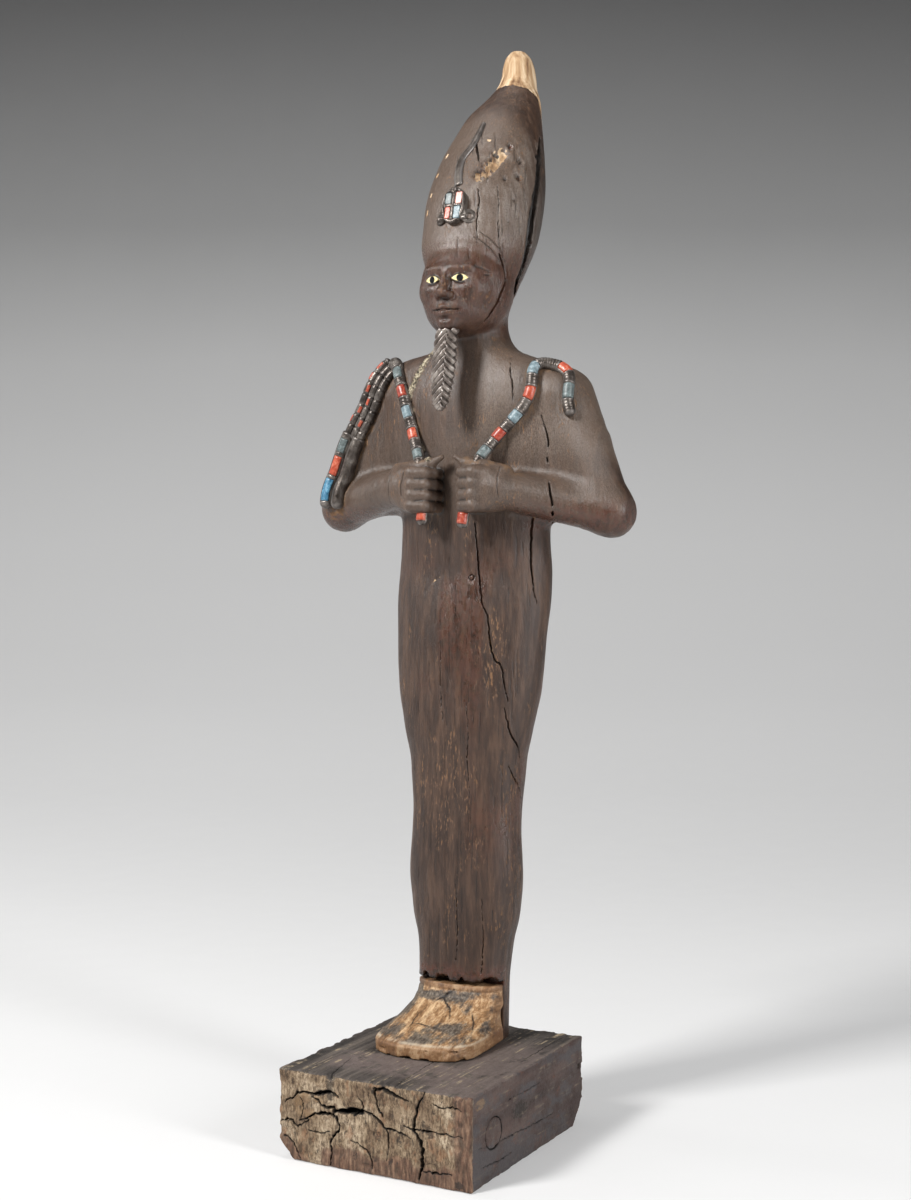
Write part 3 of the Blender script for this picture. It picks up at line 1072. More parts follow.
for column, offset in ((-1, 0.9), (0, 0.3), (1, 0.0)):
    parts.append(sweep(strand_route, 1.0, COLUMNS_END - 1.0, beads(offset), 22, 0.5, column * 5.3, size=2.0))
TUBE_INLAYS = [(59.5, 69, TEAL), (72, 86, ORANGE), (89, 103, BRIGHT)]
for side in (-1, 1):
    def tube_radius(s, a, side=side):
        r = np.full(np.shape(s), TUBE_R) + 0.22 * np.exp(-(((s - 56.2) / 0.5) ** 2)) - 0.3 * step01(s, 62, 54)
        if side == 1:
            for s0, s1, _ in TUBE_INLAYS:
                inside = step01(s, s0 - 0.3, s0 + 0.05) * step01(s, s1 + 0.3, s1 - 0.05)
                r = r - 1.0 * inside * (np.abs(a + math.radians(8)) < math.radians(47))
        return r

    parts.append(sweep(strand_route, 55.5, strand_len - 3.6, tube_radius, 36, 0.6, side * 4.6, size=4.2, round0=0.25))
flail = piece("statue_flail", joined(parts), METAL, "dark_metal", "flail")
print("routes", crook_route.length, handle_len, strand_len)
for k, (s0, s1, mat) in enumerate(HANDLE_INLAYS):
    piece(f"statue_flail_inlay_{k + 1}", tile(handle_route, s0, s1, 78, 3.80, 2.75), mat, "pale_inlay" if k == 3 else SLOT_OF[mat], f"flail_inlay_{k + 1}")
for k, (s0, s1, mat) in enumerate(TUBE_INLAYS):
    piece(f"statue_strand_inlay_{k + 1}", tile(strand_route, s0, s1, 42, 4.85, 3.85, 4.6, -8), mat, SLOT_OF[mat], f"strand_inlay_{k + 1}")
# small red plates on single beads: column, row, angle
marks = []
for column, row, turn in ((1, 0, 5), (1, 1, 30), (1, 2, -32), (0, 3, 0), (1, 4, -35), (1, 5, 42), (0, 5, -38)):
    s0 = 2 + BEAD * row + {1: 0.0, 0: 0.3}[column] + 1.5
    marks.append(tile(strand_route, s0, s0 + BEAD - 3.0, 24, 3.10, 2.0, column * 5.3, turn, 0.4, 0.4, 0.3))
piece("statue_bead_inlays", joined(marks), ORANGE, "red_inlay")

# ---------------------------------------------------------------- hood, coils and tail of the cobra on the crown
TAIL = [(FIG_X, 38.5, 617.8), (-6.2, 42.5, 625.0), (-7.0, 49.0, 637.0), (-2.6, 54.5, 645.5), (-1.4, 62.0, 655.5), (-1.2, 69.0, 663.5)]
tail_route = Route(TAIL, 0.4, smooth=2, step=3.0)
_q = np.array([[FIG_X, 33.0, 602.5]])
for _ in range(4):
    _b, _n = gradient(figure_field, list(_q.T), 0.8)
    _q = _q - _n * _b[:, None]
_n = gradient(figure_field, list(_q.T), 3.0)[1]
hood_place = np.array([FIG_X, _q[0, 1], _q[0, 2]])
hood_out = np.array([0.0, _n[0, 1], _n[0, 2]])
hood_out /= np.linalg.norm(hood_out)
hood_up = np.cross(hood_out, [1.0, 0.0, 0.0])
hood_up = hood_up if hood_up[2] > 0 else -hood_up


def hood_frame(p):
    q = [p[k] - hood_place[k] for k in range(3)]
    return q[0], q[1] * hood_up[1] + q[2] * hood_up[2], q[1] * hood_out[1] + q[2] * hood_out[2]


HOOD_CELLS = [(-3.8, 5.0, 2.3, 4.0), (3.8, 5.0, 2.5, 4.2), (-3.5, -5.0, 2.0, 4.2), (3.4, -5.0, 2.4, 4.4)]


def soft_box(u, v, cu, cv, hu, hv, r=1.0):
    qu, qv = np.abs(u - cu) - hu + r, np.abs(v - cv) - hv + r
    return np.sqrt(np.maximum(qu, 0) ** 2 + np.maximum(qv, 0) ** 2) + np.minimum(np.maximum(qu, qv), 0) - r


def hood_field(p):
    u, v, w = hood_frame(p)
    wide = 8.5 + 0.8 * np.clip(v / 12.6, -1, 1)
    oval = (np.sqrt((u / wide) ** 2 + (v / 12.6) ** 2) - 1) * 8.0
    plate = smax(oval, np.maximum(w - 3.3 - 0.9 * np.clip(-oval / 4, 0, 1), -1.4 - w), 1.0)
    rim = np.sqrt(np.maximum(np.abs(oval + 0.9), 0) ** 2 + (w - 3.6) ** 2) - 0.85
    f = smin(plate, rim, 0.5)
    f = smin(f, np.sqrt(u**2 + (w - 3.9) ** 2) - 0.75 + 0.02 * np.abs(v) ** 1.6, 0.4)
    for cu, cv, hu, hv in HOOD_CELLS:
        f = smax(f, -np.maximum(soft_box(u, v, cu, cv, hu + 0.15, hv + 0.15), 2.5 - w), 0.25)
    # loops of the body beside the hood, one of them an open ring
    for side, hollow in ((-1, 1.3), (1, 2.5)):
        du, dv = u - side * 10.4, v + 6.6
        r = np.sqrt(du**2 + dv**2)
        ww = w + 0.045 * u * u * 0.6 - 0.4
        ring = np.sqrt((r - 3.4) ** 2 + (ww - 1.2) ** 2) - 1.5
        disc = np.maximum(r - 3.6, np.abs(ww + 0.2) - (1.0 if side == 1 else 1.9))
        f = smin(f, smin(ring, disc, 0.4), 0.8)
        neck = np.sqrt((v + 8.2) ** 2 + (w - 1.4) ** 2) - 1.4
        f = smin(f, np.maximum(neck, np.maximum(-side * u + 4, side * u - 9.5)), 0.8)
    # the broken root of the lost head
    stump = np.sqrt(u**2 + ((v - 10.6) / 1.1) ** 2 + ((w - 3.6) / 0.8) ** 2) - 2.3 + 0.9 * (noise(u / 1.3, v / 1.3, w / 1.3, 5) - 0.5)
    return smin(f, stump, 0.8) + 0.18 * (noise(p[0] / 1.6, p[1] / 1.6, p[2] / 1.6, 6) - 0.5)


fine = 0.36
hx, hy, hz = hood_place
hood_mesh = surface_of(hood_field, steps((hx - 17.1, fine), (hx + 17.1, 0)), steps((hy - 12, fine), (hy + 12, 0)), steps((hz - 17.1, fine), (hz + 17.1, 0)), band=4.0)
hood = piece("statue_uraeus", hood_mesh, METAL, "dark_metal", "uraeus")
for k, ((cu, cv, hu, hv), mat, slot) in enumerate(zip(HOOD_CELLS, (TEAL, PINK, ORANGE, SKY), ("blue_inlay", "red_inlay", "red_inlay", "pale_inlay"))):
    def cell(p, cu=cu, cv=cv, hu=hu, hv=hv):
        u, v, w = hood_frame(p)
        return smax(soft_box(u, v, cu, cv, hu, hv), np.maximum(w - 3.95, 2.55 - w), 0.5)

    c = hood_place + hood_up * cv + np.array([cu, 0, 0]) + hood_out * 3.2
    data = surface_of(cell, *(steps((c[i] - 6.05, fine), (c[i] + 6.05, 0)) for i in range(3)), band=3.0)
    piece(f"statue_hood_inlay_{k + 1}", data, mat, slot, f"hood_inlay_{k + 1}")


def tail_radius(s, a):
    wide = 3.1 - 1.7 * (s / tail_route.length) ** 2.2
    return 1 / np.sqrt((np.cos(a) / 1.25) ** 2 + (np.sin(a) / wide) ** 2)


piece("statue_uraeus_tail", sweep(tail_route, 0.5, tail_route.length - 0.5, tail_radius, 16, 0.8, size=1.2), METAL, "dark_metal", "uraeus_tail")

# ---------------------------------------------------------------- plaited beard
BEARD = [
    (468.5, 1.6, 1.5, 12.6, 2.0), (470.5, 3.9, 3.2, 13.0, 2.0), (477.0, 6.0, 4.4, 14.2, 2.0), (488.0, 7.6, 5.0, 16.2, 2.0),
    (500.0, 8.2, 5.4, 18.4, 2.0), (515.0, 8.0, 5.6, 21.2, 2.0), (521.5, 7.8, 5.6, 23.0, 2.0),
]
beard_loft = Loft(BEARD)


def beard_field(p):
    z = p[2]
    d = beard_loft([p[0] - FIG_X, p[1], z])
    wide = np.interp(z, beard_loft.t[:, 0], beard_loft.t[:, 1])
    u = p[0] - FIG_X - 0.32 * wide
    # locks that cross over: each falls away towards the middle and tucks under the next
    run = (z + 1.05 * np.abs(u)) / 4.9 + np.where(u > 0, 0.5, 0.0)
    phase = run - np.floor(run)
    lock = np.clip(phase / 0.72, 0, 1) ** 0.8 * np.clip((1 - phase) / 0.16, 0, 1)
    side = np.clip(np.abs(u) / wide, 0, 1)
    strand = 0.14 * np.sin(2 * math.pi * (z + 1.05 * np.abs(u)) / 1.25)
    relief = 1.5 * (1 - lock) * (1 - 0.25 * side**4) + 0.35 * np.exp(-((u / 0.6) ** 2)) + strand
    return d * 0.85 + relief * step01(z, 469, 472) - 0.3


fine = 0.42
beard_mesh = surface_of(beard_field, steps((-13.1, fine), (5.1, 0)), steps((9.1, fine), (30.1, 0)), steps((466.6, fine), (523.1, 0)), band=3.0)
beard = piece("statue_beard", beard_mesh, BEARD_METAL, "dark_metal", "beard")
co = points_of(beard)
u = co[:, 0] - FIG_X - 0.32 * np.interp(co[:, 2], beard_loft.t[:, 0], beard_loft.t[:, 1])
run = (co[:, 2] + 1.05 * np.abs(u)) / 4.9 + np.where(u > 0, 0.5, 0.0)
phase = run - np.floor(run)
paint(beard, "dark", 0.85 * np.maximum(step01(phase, 0.26, 0.0), step01(phase, 0.90, 1.0)))

# ---------------------------------------------------------------- the figure's surface, its cracks and wear
gx = steps((-126.0, 1.5), (-56.0, 1.0), (48.0, 1.5), (118.0, 0))
gy = steps((1.0, 1.0), (46.0, 1.5), (145.0, 0))
gz = steps((55.0, 1.7), (392.0, 0.95), (444.0, 1.5), (520.0, 0.85), (572.0, 1.5), (729.0, 0))
figure = make("statue_figure", *surface_of(figure_field, gx, gy, gz), FIGURE)


def crack(spots, widths, step=1.6, wander=0.35, field=figure_field):
    """A crack through places of the picture, with its widths spread evenly over its length."""
    path = curve(seen(field, spots), step)
    t = np.linspace(0, 1, len(path))
    if wander:
        path = path + wander * (RNG.random(path.shape) - 0.5) * 2
    return path, np.interp(t, np.linspace(0, 1, len(widths)), widths)


CRACKS = [
    crack([(511, 358), (510.5, 372), (512, 386), (513, 400)], (0.3, 0.7, 0.7, 0.3)),
    crack([(541, 415), (548, 440), (547, 460), (550, 489)], (0.5, 1.0, 0.9, 1.2), 1.6, 0.12),
    crack([(549.5, 489), (551, 497), (552, 503), (552.5, 514), (553, 524)], (1.2, 1.6, 1.9, 1.9, 1.3), 1.6, 0.12),
    crack([(475, 523), (477, 550), (479, 576), (482, 603), (487, 615), (490, 643), (495, 661), (501, 666), (505, 689), (508, 701)], (0.7, 1.0, 1.1, 0.9, 1.2, 1.0, 0.5)),
    crack([(504.5, 708), (507, 720), (511, 735), (518, 747), (520, 758)], (0.4, 0.9, 1.0, 0.4)),
    crack([(509, 766), (513, 776), (518, 785), (521, 798)], (0.4, 0.9, 0.4)),
    crack([(533, 519), (531.5, 536), (531, 557), (532, 576), (535, 596), (537, 603)], (1.6, 1.2, 1.0, 0.9, 0.4)),
    crack([(521, 798), (522, 820), (519, 846), (520, 880)], (0.3, 0.5, 0.5, 0.2)),
    crack([(478, 188), (479, 204), (476.5, 222), (477, 238)], (0.4, 0.7, 0.6, 0.3)),
    crack([(476, 140), (477, 150), (479, 162)], (0.5, 1.5, 0.6)),
    crack([(497, 186), (499, 206), (498, 230), (500, 250)], (0.3, 0.5, 0.5, 0.3)),
    crack([(466, 702), (468, 730), (467, 760), (470, 800)], (0.2, 0.4, 0.5, 0.2)),
    crack([(441, 640), (440, 680), (443, 720)], (0.2, 0.45, 0.2)),
    crack([(455, 880), (457, 920), (456, 960)], (0.2, 0.5, 0.6)),
    crack([(482, 900), (483, 940), (481, 974)], (0.2, 0.5, 0.7)),
    crack([(499, 254), (503, 266), (505.5, 279), (501.5, 292), (497, 303), (490, 314), (484, 322)], (0.6, 1.2, 1.7, 1.6, 1.5, 1.2, 0.7), 1.5, 0.15),
    crack([(516, 282), (514, 292), (512, 303), (513, 312)], (1.6, 1.3, 0.9, 0.4), 1.5, 0.15),
    crack([(471.5, 574), (469, 577), (471.5, 580.5), (474, 577), (471.5, 574)], (0.7, 0.7, 0.7)),
]
# hidden sides: a few drying cracks along the grain
for x, y, z0, z1, w in ((-30, 74, 300, 380, 0.9), (6, 79, 150, 262, 1.1), (22, 78, 400, 470, 0.8), (-52, 60, 210, 300, 0.8), (-12, 112, 560, 640, 0.9), (44, 66, 180, 240, 0.7)):
    path = np.array([(x, y, z) for z in np.arange(z0, z1, 6.0)])
    path[:, 0] += 3 * (noise(path[:, 2] / 22, 0, 0, 3) - 0.5)
    for _ in range(5):
        b_, n_ = gradient(figure_field, list(path.T), 0.8)
        path = path - n_ * b_[:, None] * 0.9
    CRACKS.append((path, w * np.sin(np.linspace(0.15, math.pi - 0.1, len(path)))))
# hairlines along the grain
HAIRS = []
for _ in range(95):
    px = 412 + 118 * RNG.random()
    py = 530 + 400 * RNG.random()
    long = 12 + 46 * RNG.random() ** 2
    if 405 + 0.03 * (py - 530) < px < 536 - 0.05 * (py - 530):
        HAIRS.append(crack([(px, py), (px + 1.2 * (RNG.random() - 0.5), py + long / 2), (px + 2 * (RNG.random() - 0.5), py + long)], (0.1, 0.42, 0.1), 3.0, 0.12))
for _ in range(34):
    px, py = 440 + 96 * RNG.random(), 118 + 130 * RNG.random()
    if px > 452 + (190 - py) * 0.1:
        HAIRS.append(crack([(px, py), (px + 1.5 * (RNG.random() - 0.5), py + 9), (px, py + 18)], (0.1, 0.45, 0.1), 3.0, 0.12))
HAIRS = [h for h in HAIRS if np.linalg.norm(np.diff(h[0], axis=0), axis=1).max() < 9]


def front_of(spots):
    """Places on the front of the head, given by distance from the middle plane and height."""
    out = []
    for u, z in spots:
        y = 2.0
        for _ in range(60):
            f = float(figure_field([np.array([FIG_X + u]), np.array([y]), np.array([float(z)])])[0])
            y += max(0.02, 0.8 * f) if f > 0.01 else 0
        out.append((FIG_X + u, y, z))
    return out


def mirrored(spots):
    return [front_of([(s * u, z) for u, z in spots]) for s in (-1, 1)]


def eye_loop(grow):
    out = []
    for k in range(25):
        t = 2 * math.pi * k / 24
        out.append((11.2 + (5.7 + grow) * math.cos(t), 554 + (2.75 + grow if math.sin(t) > 0 else 2.0 + grow) * math.sin(t) * (0.55 + 0.45 * abs(math.sin(t)))))
    return out


LIDS = [(curve(p, 1.0), None) for p in mirrored(eye_loop(0.75))]
LIDS = [(p, np.full(len(p), 1.0)) for p, _ in LIDS]
LINER = [(curve(p, 1.0), None) for p in mirrored([(17.2, 554.4), (20.0, 555.2), (22.6, 555.9), (25.2, 556.2)])]
LINER = [(p, np.linspace(1.2, 0.9, len(p))) for p, _ in LINER]
BROWS = [(curve(p, 1.0), None) for p in mirrored([(3.6, 560.9), (7.5, 562.6), (12.0, 563.1), (17.0, 562.2), (21.5, 560.3), (25.0, 558.6)])]
BROWS = [(p, np.interp(np.linspace(0, 1, len(p)), [0, 0.4, 1], [1.5, 1.5, 0.8])) for p, _ in BROWS]
MOUTH = [(curve(front_of([(-8.6, 534.1), (-4.5, 533.6), (0, 533.9), (4.5, 533.6), (8.6, 534.1)]), 1.0), None)]
MOUTH = [(p, np.full(len(p), 0.8)) for p, _ in MOUTH]
# the border of the crown round the face, and two grooves behind the temple
GROOVES = [
    crack([(474, 237), (484, 243), (493, 252), (500, 262)], (0.5, 0.9, 0.5), 1.5, 0.1),
    crack([(480, 232), (490, 239), (499, 249), (505, 262)], (0.5, 0.9, 0.5), 1.5, 0.1),
    crack([(500, 467), (497.5, 478), (497.5, 492), (501, 505)], (0.4, 0.8, 0.8, 0.4), 1.5, 0.1),
    crack([(404, 471), (401.5, 482), (401, 495), (405, 508)], (0.4, 0.8, 0.8, 0.4), 1.5, 0.1),
    crack([(392, 469), (389, 480), (388.5, 494), (393, 507)], (0.4, 0.7, 0.7, 0.4), 1.5, 0.1),
]
CRUST = [crack([(437, 345), (420, 372), (412, 388), (408, 400), (411, 412), (414, 430), (420, 447), (428, 460)], (2.6, 4.4, 4.2, 4.6, 5.0, 4.6, 4.2, 3.0), 2.0, 0.5)]
SCARS = [
    crack([(444, 573), (437, 579), (431, 584), (425, 594)], (0.8, 1.2, 0.8), 1.5, 0.3),
    crack([(410, 594), (409.5, 608), (411, 622)], (0.7, 1.1, 0.7), 1.5, 0.2),
    crack([(470, 640), (473, 660), (471, 690)], (0.5, 0.8, 0.4), 1.5, 0.2),
]
fine_lines = CRACKS + GROOVES + LIDS + BROWS + LINER + MOUTH

def close_to(lines, reach):
    return lambda co: (lambda r, w: r < reach + w / 2)(*lines_distance(co, lines))

refine(figure, close_to(fine_lines + HAIRS, 1.6), 1)
refine(figure, close_to(fine_lines, 0.9), 1)


def hollows(co):
    """Losses on the crown, with the bare wood that shows in them: depth and tan share."""
    depth, tan = np.zeros(len(co)), np.zeros(len(co))
    places = seen(figure_field, [(478, 174), (485, 170), (492, 164), (498, 158), (503, 153), (510, 146), (520, 161), (505, 179), (518, 177), (537, 157), (530, 243), (437, 176), (431, 196), (447, 156), (427, 214), (489, 140), (514, 200), (508, 222)])
    sizes = [(4.0, 2.6, 0.62), (4.8, 3.0, 0.55), (5.2, 2.6, 0.64), (4.8, 2.8, 0.56), (3.8, 2.0, 0.64), (2.2, 1.6, 0.2), (2.6, 1.8, 0.1), (1.8, 1.2, 0.3), (2.2, 1.5, 0.1), (2.6, 1.0, 0.4), (1.6, 0.8, 0.2),
             (1.6, 0.5, 1.0), (1.4, 0.5, 1.0), (1.5, 0.4, 0.9), (1.3, 0.4, 1.0), (1.6, 0.6, 0.7), (1.5, 0.8, 0.3), (1.3, 0.7, 0.2)]
    for c, (r, d, t) in zip(places, sizes):
        near = np.nonzero((np.abs(co - c) < 9).all(1))[0]
        q = co[near] - c
        dist = np.sqrt(q[:, 0] ** 2 + q[:, 1] ** 2 + (q[:, 2] / 1.5) ** 2)
        dist = dist * (1 + 0.8 * (noise(co[near, 0] / 1.7, co[near, 1] / 1.7, co[near, 2] / 2.6, 12) - 0.5))
        bite = step01(dist, r, r * 0.55)
        depth[near] = np.maximum(depth[near], bite * d)
        tan[near] = np.maximum(tan[near], step01(dist, r * 1.15, r * 0.8) * t)
    return depth, tan


co = points_of(figure)
base, n = gradient(figure_field, list(co.T))
co = co - n * np.clip(base, -0.8, 0.8)[:, None]
crack_r, crack_w = lines_distance(co, CRACKS)
hair_r, hair_w = lines_distance(co, HAIRS)
groove_r, groove_w = lines_distance(co, GROOVES)
lid_r, _ = lines_distance(co, LIDS)
brow_r, brow_w = lines_distance(co, BROWS + LINER)
mouth_r, mouth_w = lines_distance(co, MOUTH)
crust_r, crust_w = lines_distance(co, CRUST)
scar_r, scar_w = lines_distance(co, SCARS)
loss, loss_tan = hollows(co)
x, y, z = co.T
torn = 0.35 * (noise(x / 0.9, y / 0.9, z / 2.5, 20) - 0.5)
open_ = step01(crack_r + torn * (crack_w > 0.6), crack_w / 2 + 0.25, np.maximum(crack_w / 2 - 0.3, 0.0))
depth = open_ * (0.7 + 1.25 * crack_w)
hair = step01(hair_r, hair_w / 2 + 0.45, 0.0) * (hair_w > 0.12)
depth += 0.35 * hair
depth += 0.75 * np.minimum(groove_w, 1.2) * step01(groove_r, groove_w / 2 + 0.35, 0.0)
depth += 0.55 * step01(mouth_r, 0.9, 0.0)
depth += 0.50 * step01(brow_r, brow_w / 2 + 0.25, 0.15)
depth -= 0.38 * np.exp(-((lid_r / 0.75) ** 2))
depth += 0.30 * step01(scar_r, scar_w / 2 + 0.4, 0.0)
depth += loss * (0.75 + 0.5 * noise(x / 1.1, y / 1.1, z / 3.0, 22))
crust = step01(crust_r + 1.2 * (noise(x / 1.6, y / 1.6, z / 1.6, 23) - 0.5), crust_w / 2 + 0.5, crust_w / 2 - 0.7)
depth -= crust * (0.15 + 1.25 * noise(x / 1.1, y / 1.1, z / 1.1, 24)) - 0.35 * np.exp(-(((crust_r - crust_w / 2 - 0.5) / 0.5) ** 2))
# lips of the wide cracks stand up a little
depth -= 0.22 * np.exp(-(((crack_r - crack_w / 2 - 0.9) / 0.7) ** 2)) * (crack_w > 0.8)
# crumbled wood at the break over the foot block
at_break = step01(z, 112, 97) * (y < FOOT_JOINT + 1) * (z > 90)
depth += at_break * 1.1 * (fractal(x / 2.2, y / 2.2, z / 3.0, 25, 3) - 0.35)
co = co - n * depth[:, None]
low, high = (np.array(v) / MM for v in cad_box)
co = np.clip(co, low + 0.01, high - 0.01)
set_points(figure, co)
count = sum(len(p.vertices) - 2 for p in figure.data.polygons)
reduce_to(figure, 196000)

# what the material reads
co = points_of(figure)
x, y, z = co.T
u = x - FIG_X
crack_r, crack_w = lines_distance(co, CRACKS)
hair_r, hair_w = lines_distance(co, HAIRS)
groove_r, groove_w = lines_distance(co, GROOVES)
lid_r, _ = lines_distance(co, LIDS)
brow_r, brow_w = lines_distance(co, BROWS + LINER)
mouth_r, _ = lines_distance(co, MOUTH)
crust_r, crust_w = lines_distance(co, CRUST)
scar_r, scar_w = lines_distance(co, SCARS)
loss, loss_tan = hollows(co)
wall = crown_loft([np.abs(u), y, z])
channel_y = np.interp(z, SLOT[:, 0], (SLOT[:, 1] + SLOT[:, 2]) / 2)
in_channel = step01(wall, -0.6, -1.5) * step01(np.abs(y - channel_y), 9, 6) * (z > 540) * (z < 660) * (np.abs(u) > 8)
behind = step01(y - np.interp(z, SLOT[:, 0], SLOT[:, 2]), -1.5, 0.5) * step01(z, 543, 550) * step01(z, 664, 650)
in_channel = np.maximum(in_channel, 0.55 * behind)
dark = step01(crack_r, crack_w / 2 + 0.35, np.maximum(crack_w / 2 - 0.15, 0.0)) * (0.65 + 0.35 * (crack_w > 0.6))
dark = np.maximum(dark, 0.75 * step01(hair_r, hair_w / 2 + 0.4, 0.05) * (hair_w > 0.12))
dark = np.maximum(dark, 0.55 * step01(groove_r, groove_w / 2 + 0.3, 0.1))
dark = np.maximum(dark, 0.85 * step01(lid_r, 0.95, 0.45))
dark = np.maximum(dark, 0.75 * step01(brow_r, brow_w / 2 + 0.3, brow_w / 2 - 0.2))
dark = np.maximum(dark, 0.55 * step01(mouth_r, 0.7, 0.2))
dark = np.maximum(dark, 0.92 * in_channel)
dark = np.maximum(dark, 0.9 * step01(loss, 1.4, 2.2) * (1 - loss_tan))
red = 0.9 * step01(loss, 0.3, 1.0)
dark = np.maximum(dark, step01(z, 100, 95) * (y < FOOT_JOINT) * (z > 90))
paint(figure, "dark", np.clip(dark, 0, 1))
back_edge = y - np.interp(z, crown_loft.t[:, 0], crown_loft.t[:, 3])
reach = np.interp(z, crown_loft.t[:, 0], crown_loft.t[:, 2])
# bare wood on the knob and down the back edge
ratio = back_edge / np.maximum(reach, 1)
start = np.interp(z, [648, 660, 676, 690, 697, 701], [0.95, 0.50, 0.22, 0.0, -0.6, -1.6])
knob = step01(ratio, start, start + 0.12) * (z > 648)
tan = np.maximum(knob, loss_tan)
tan = np.maximum(tan, 0.50 * step01(scar_r, scar_w / 2 + 0.3, scar_w / 2 - 0.2))
tan = np.maximum(tan, 0.36 * step01(np.abs(crack_r - crack_w / 2 - 0.6), 0.7, 0.2) * (crack_w > 0.7) * (noise(x / 2, y / 2, z / 5, 31) > 0.52))
tan = np.maximum(tan, 0.26 * step01(z, 108, 98) * (noise(x / 3, y / 3, z / 6, 32) > 0.55) * (y < 50))
paint(figure, "tan", tan)
paint(figure, "crust", step01(crust_r + 1.2 * (noise(x / 1.6, y / 1.6, z / 1.6, 23) - 0.5), crust_w / 2 + 0.4, crust_w / 2 - 0.5))


def along(route, s0, s1, near, far):
    """1 in a belt beside a route, from `near` to `far` mm from its middle."""
    s = np.linspace(s0, min(s1, route.length), 60)
    r, _ = lines_distance(co, [(route.at(s)[0], np.ones(60))])
    return step01(r, far, near)


ochre = 0.85 * along(crook_route, 40, 130, 4.4, 7.0)
ochre = np.maximum(ochre, 0.7 * along(handle_route, 44, 110, 4.2, 6.2))
ochre = np.maximum(ochre, 0.9 * along(strand_route, 4, 110, 9.0, 12.0))
hands, _ = lines_distance(co, [(np.array([(14, 22, 436.5), (30, 26, 434.5), (44, 30, 432)]), np.ones(3)), (np.array([(-22, 24, 441), (-38, 28, 440), (-52, 30, 438)]), np.ones(3))])
ochre = np.maximum(ochre, 0.55 * step01(hands, 9, 5))
paint(figure, "ochre", ochre * step01(noise(x / 5, y / 5, z / 5, 33), 0.15, 0.45))
haze = 0.9 * step01(z, 425, 445) * step01(z, 522, 508) * (0.25 + 0.75 * step01(u, -4, 24))
haze = np.maximum(haze, 0.85 * step01(z, 564, 580) * step01(z, 690, 660) * step01(y, 90, 70))
haze = np.maximum(haze, 0.6 * step01(z, 395, 412) * step01(z, 470, 440) * step01(y, 58, 46))
paint(figure, "haze", haze)
red = np.maximum(red, 0.65 * step01(z, 414, 400) * step01(z, 385, 395) * step01(np.abs(u), 38, 50))
red = np.maximum(red, 0.5 * step01(z, 390, 350) * step01(z, 150, 230) * step01(noise(x / 18, y / 18, z / 50, 34), 0.45, 0.7))
red = np.maximum(red, 0.45 * step01(z, 590, 570) * step01(z, 515, 530))
red = np.maximum(red, 0.8 * step01(z, 110, 99) * (z > 92) * (y < 46))
paint(figure, "red", red)
paint(figure, "grey", 0.75 * step01(z, 575, 590) * step01(z, 665, 640) * step01(u, 0, 12) * step01(noise(x / 2.0, y / 2.0, z / 26, 35), 0.45, 0.62))
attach(figure, "root")
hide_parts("figure")
print("figure triangles", count, "->", sum(len(p.vertices) - 2 for p in figure.data.polygons))


# ---------------------------------------------------------------- plinth
def on_plane(spots, axis, value):
    """Where the lines of sight through places of the picture meet a level plane."""
    d, o = rays(spots), np.array(CAM_POS) / MM
    return o + d * ((value - o[axis]) / d[:, axis])[:, None]


def face_crack(spots, widths, axis=1, value=-79.0, deep=7.0):
    path = curve(on_plane(spots, axis, value), 1.5)
    jitter = 1.15 * (RNG.random(path.shape) - 0.5)
    jitter[:, axis] = 0
    w = np.interp(np.linspace(0, 1, len(path)), np.linspace(0, 1, len(widths)), widths)
    return path + jitter, 0.74 * w * (0.55 + 0.9 * RNG.random(len(w))), axis, value, deep


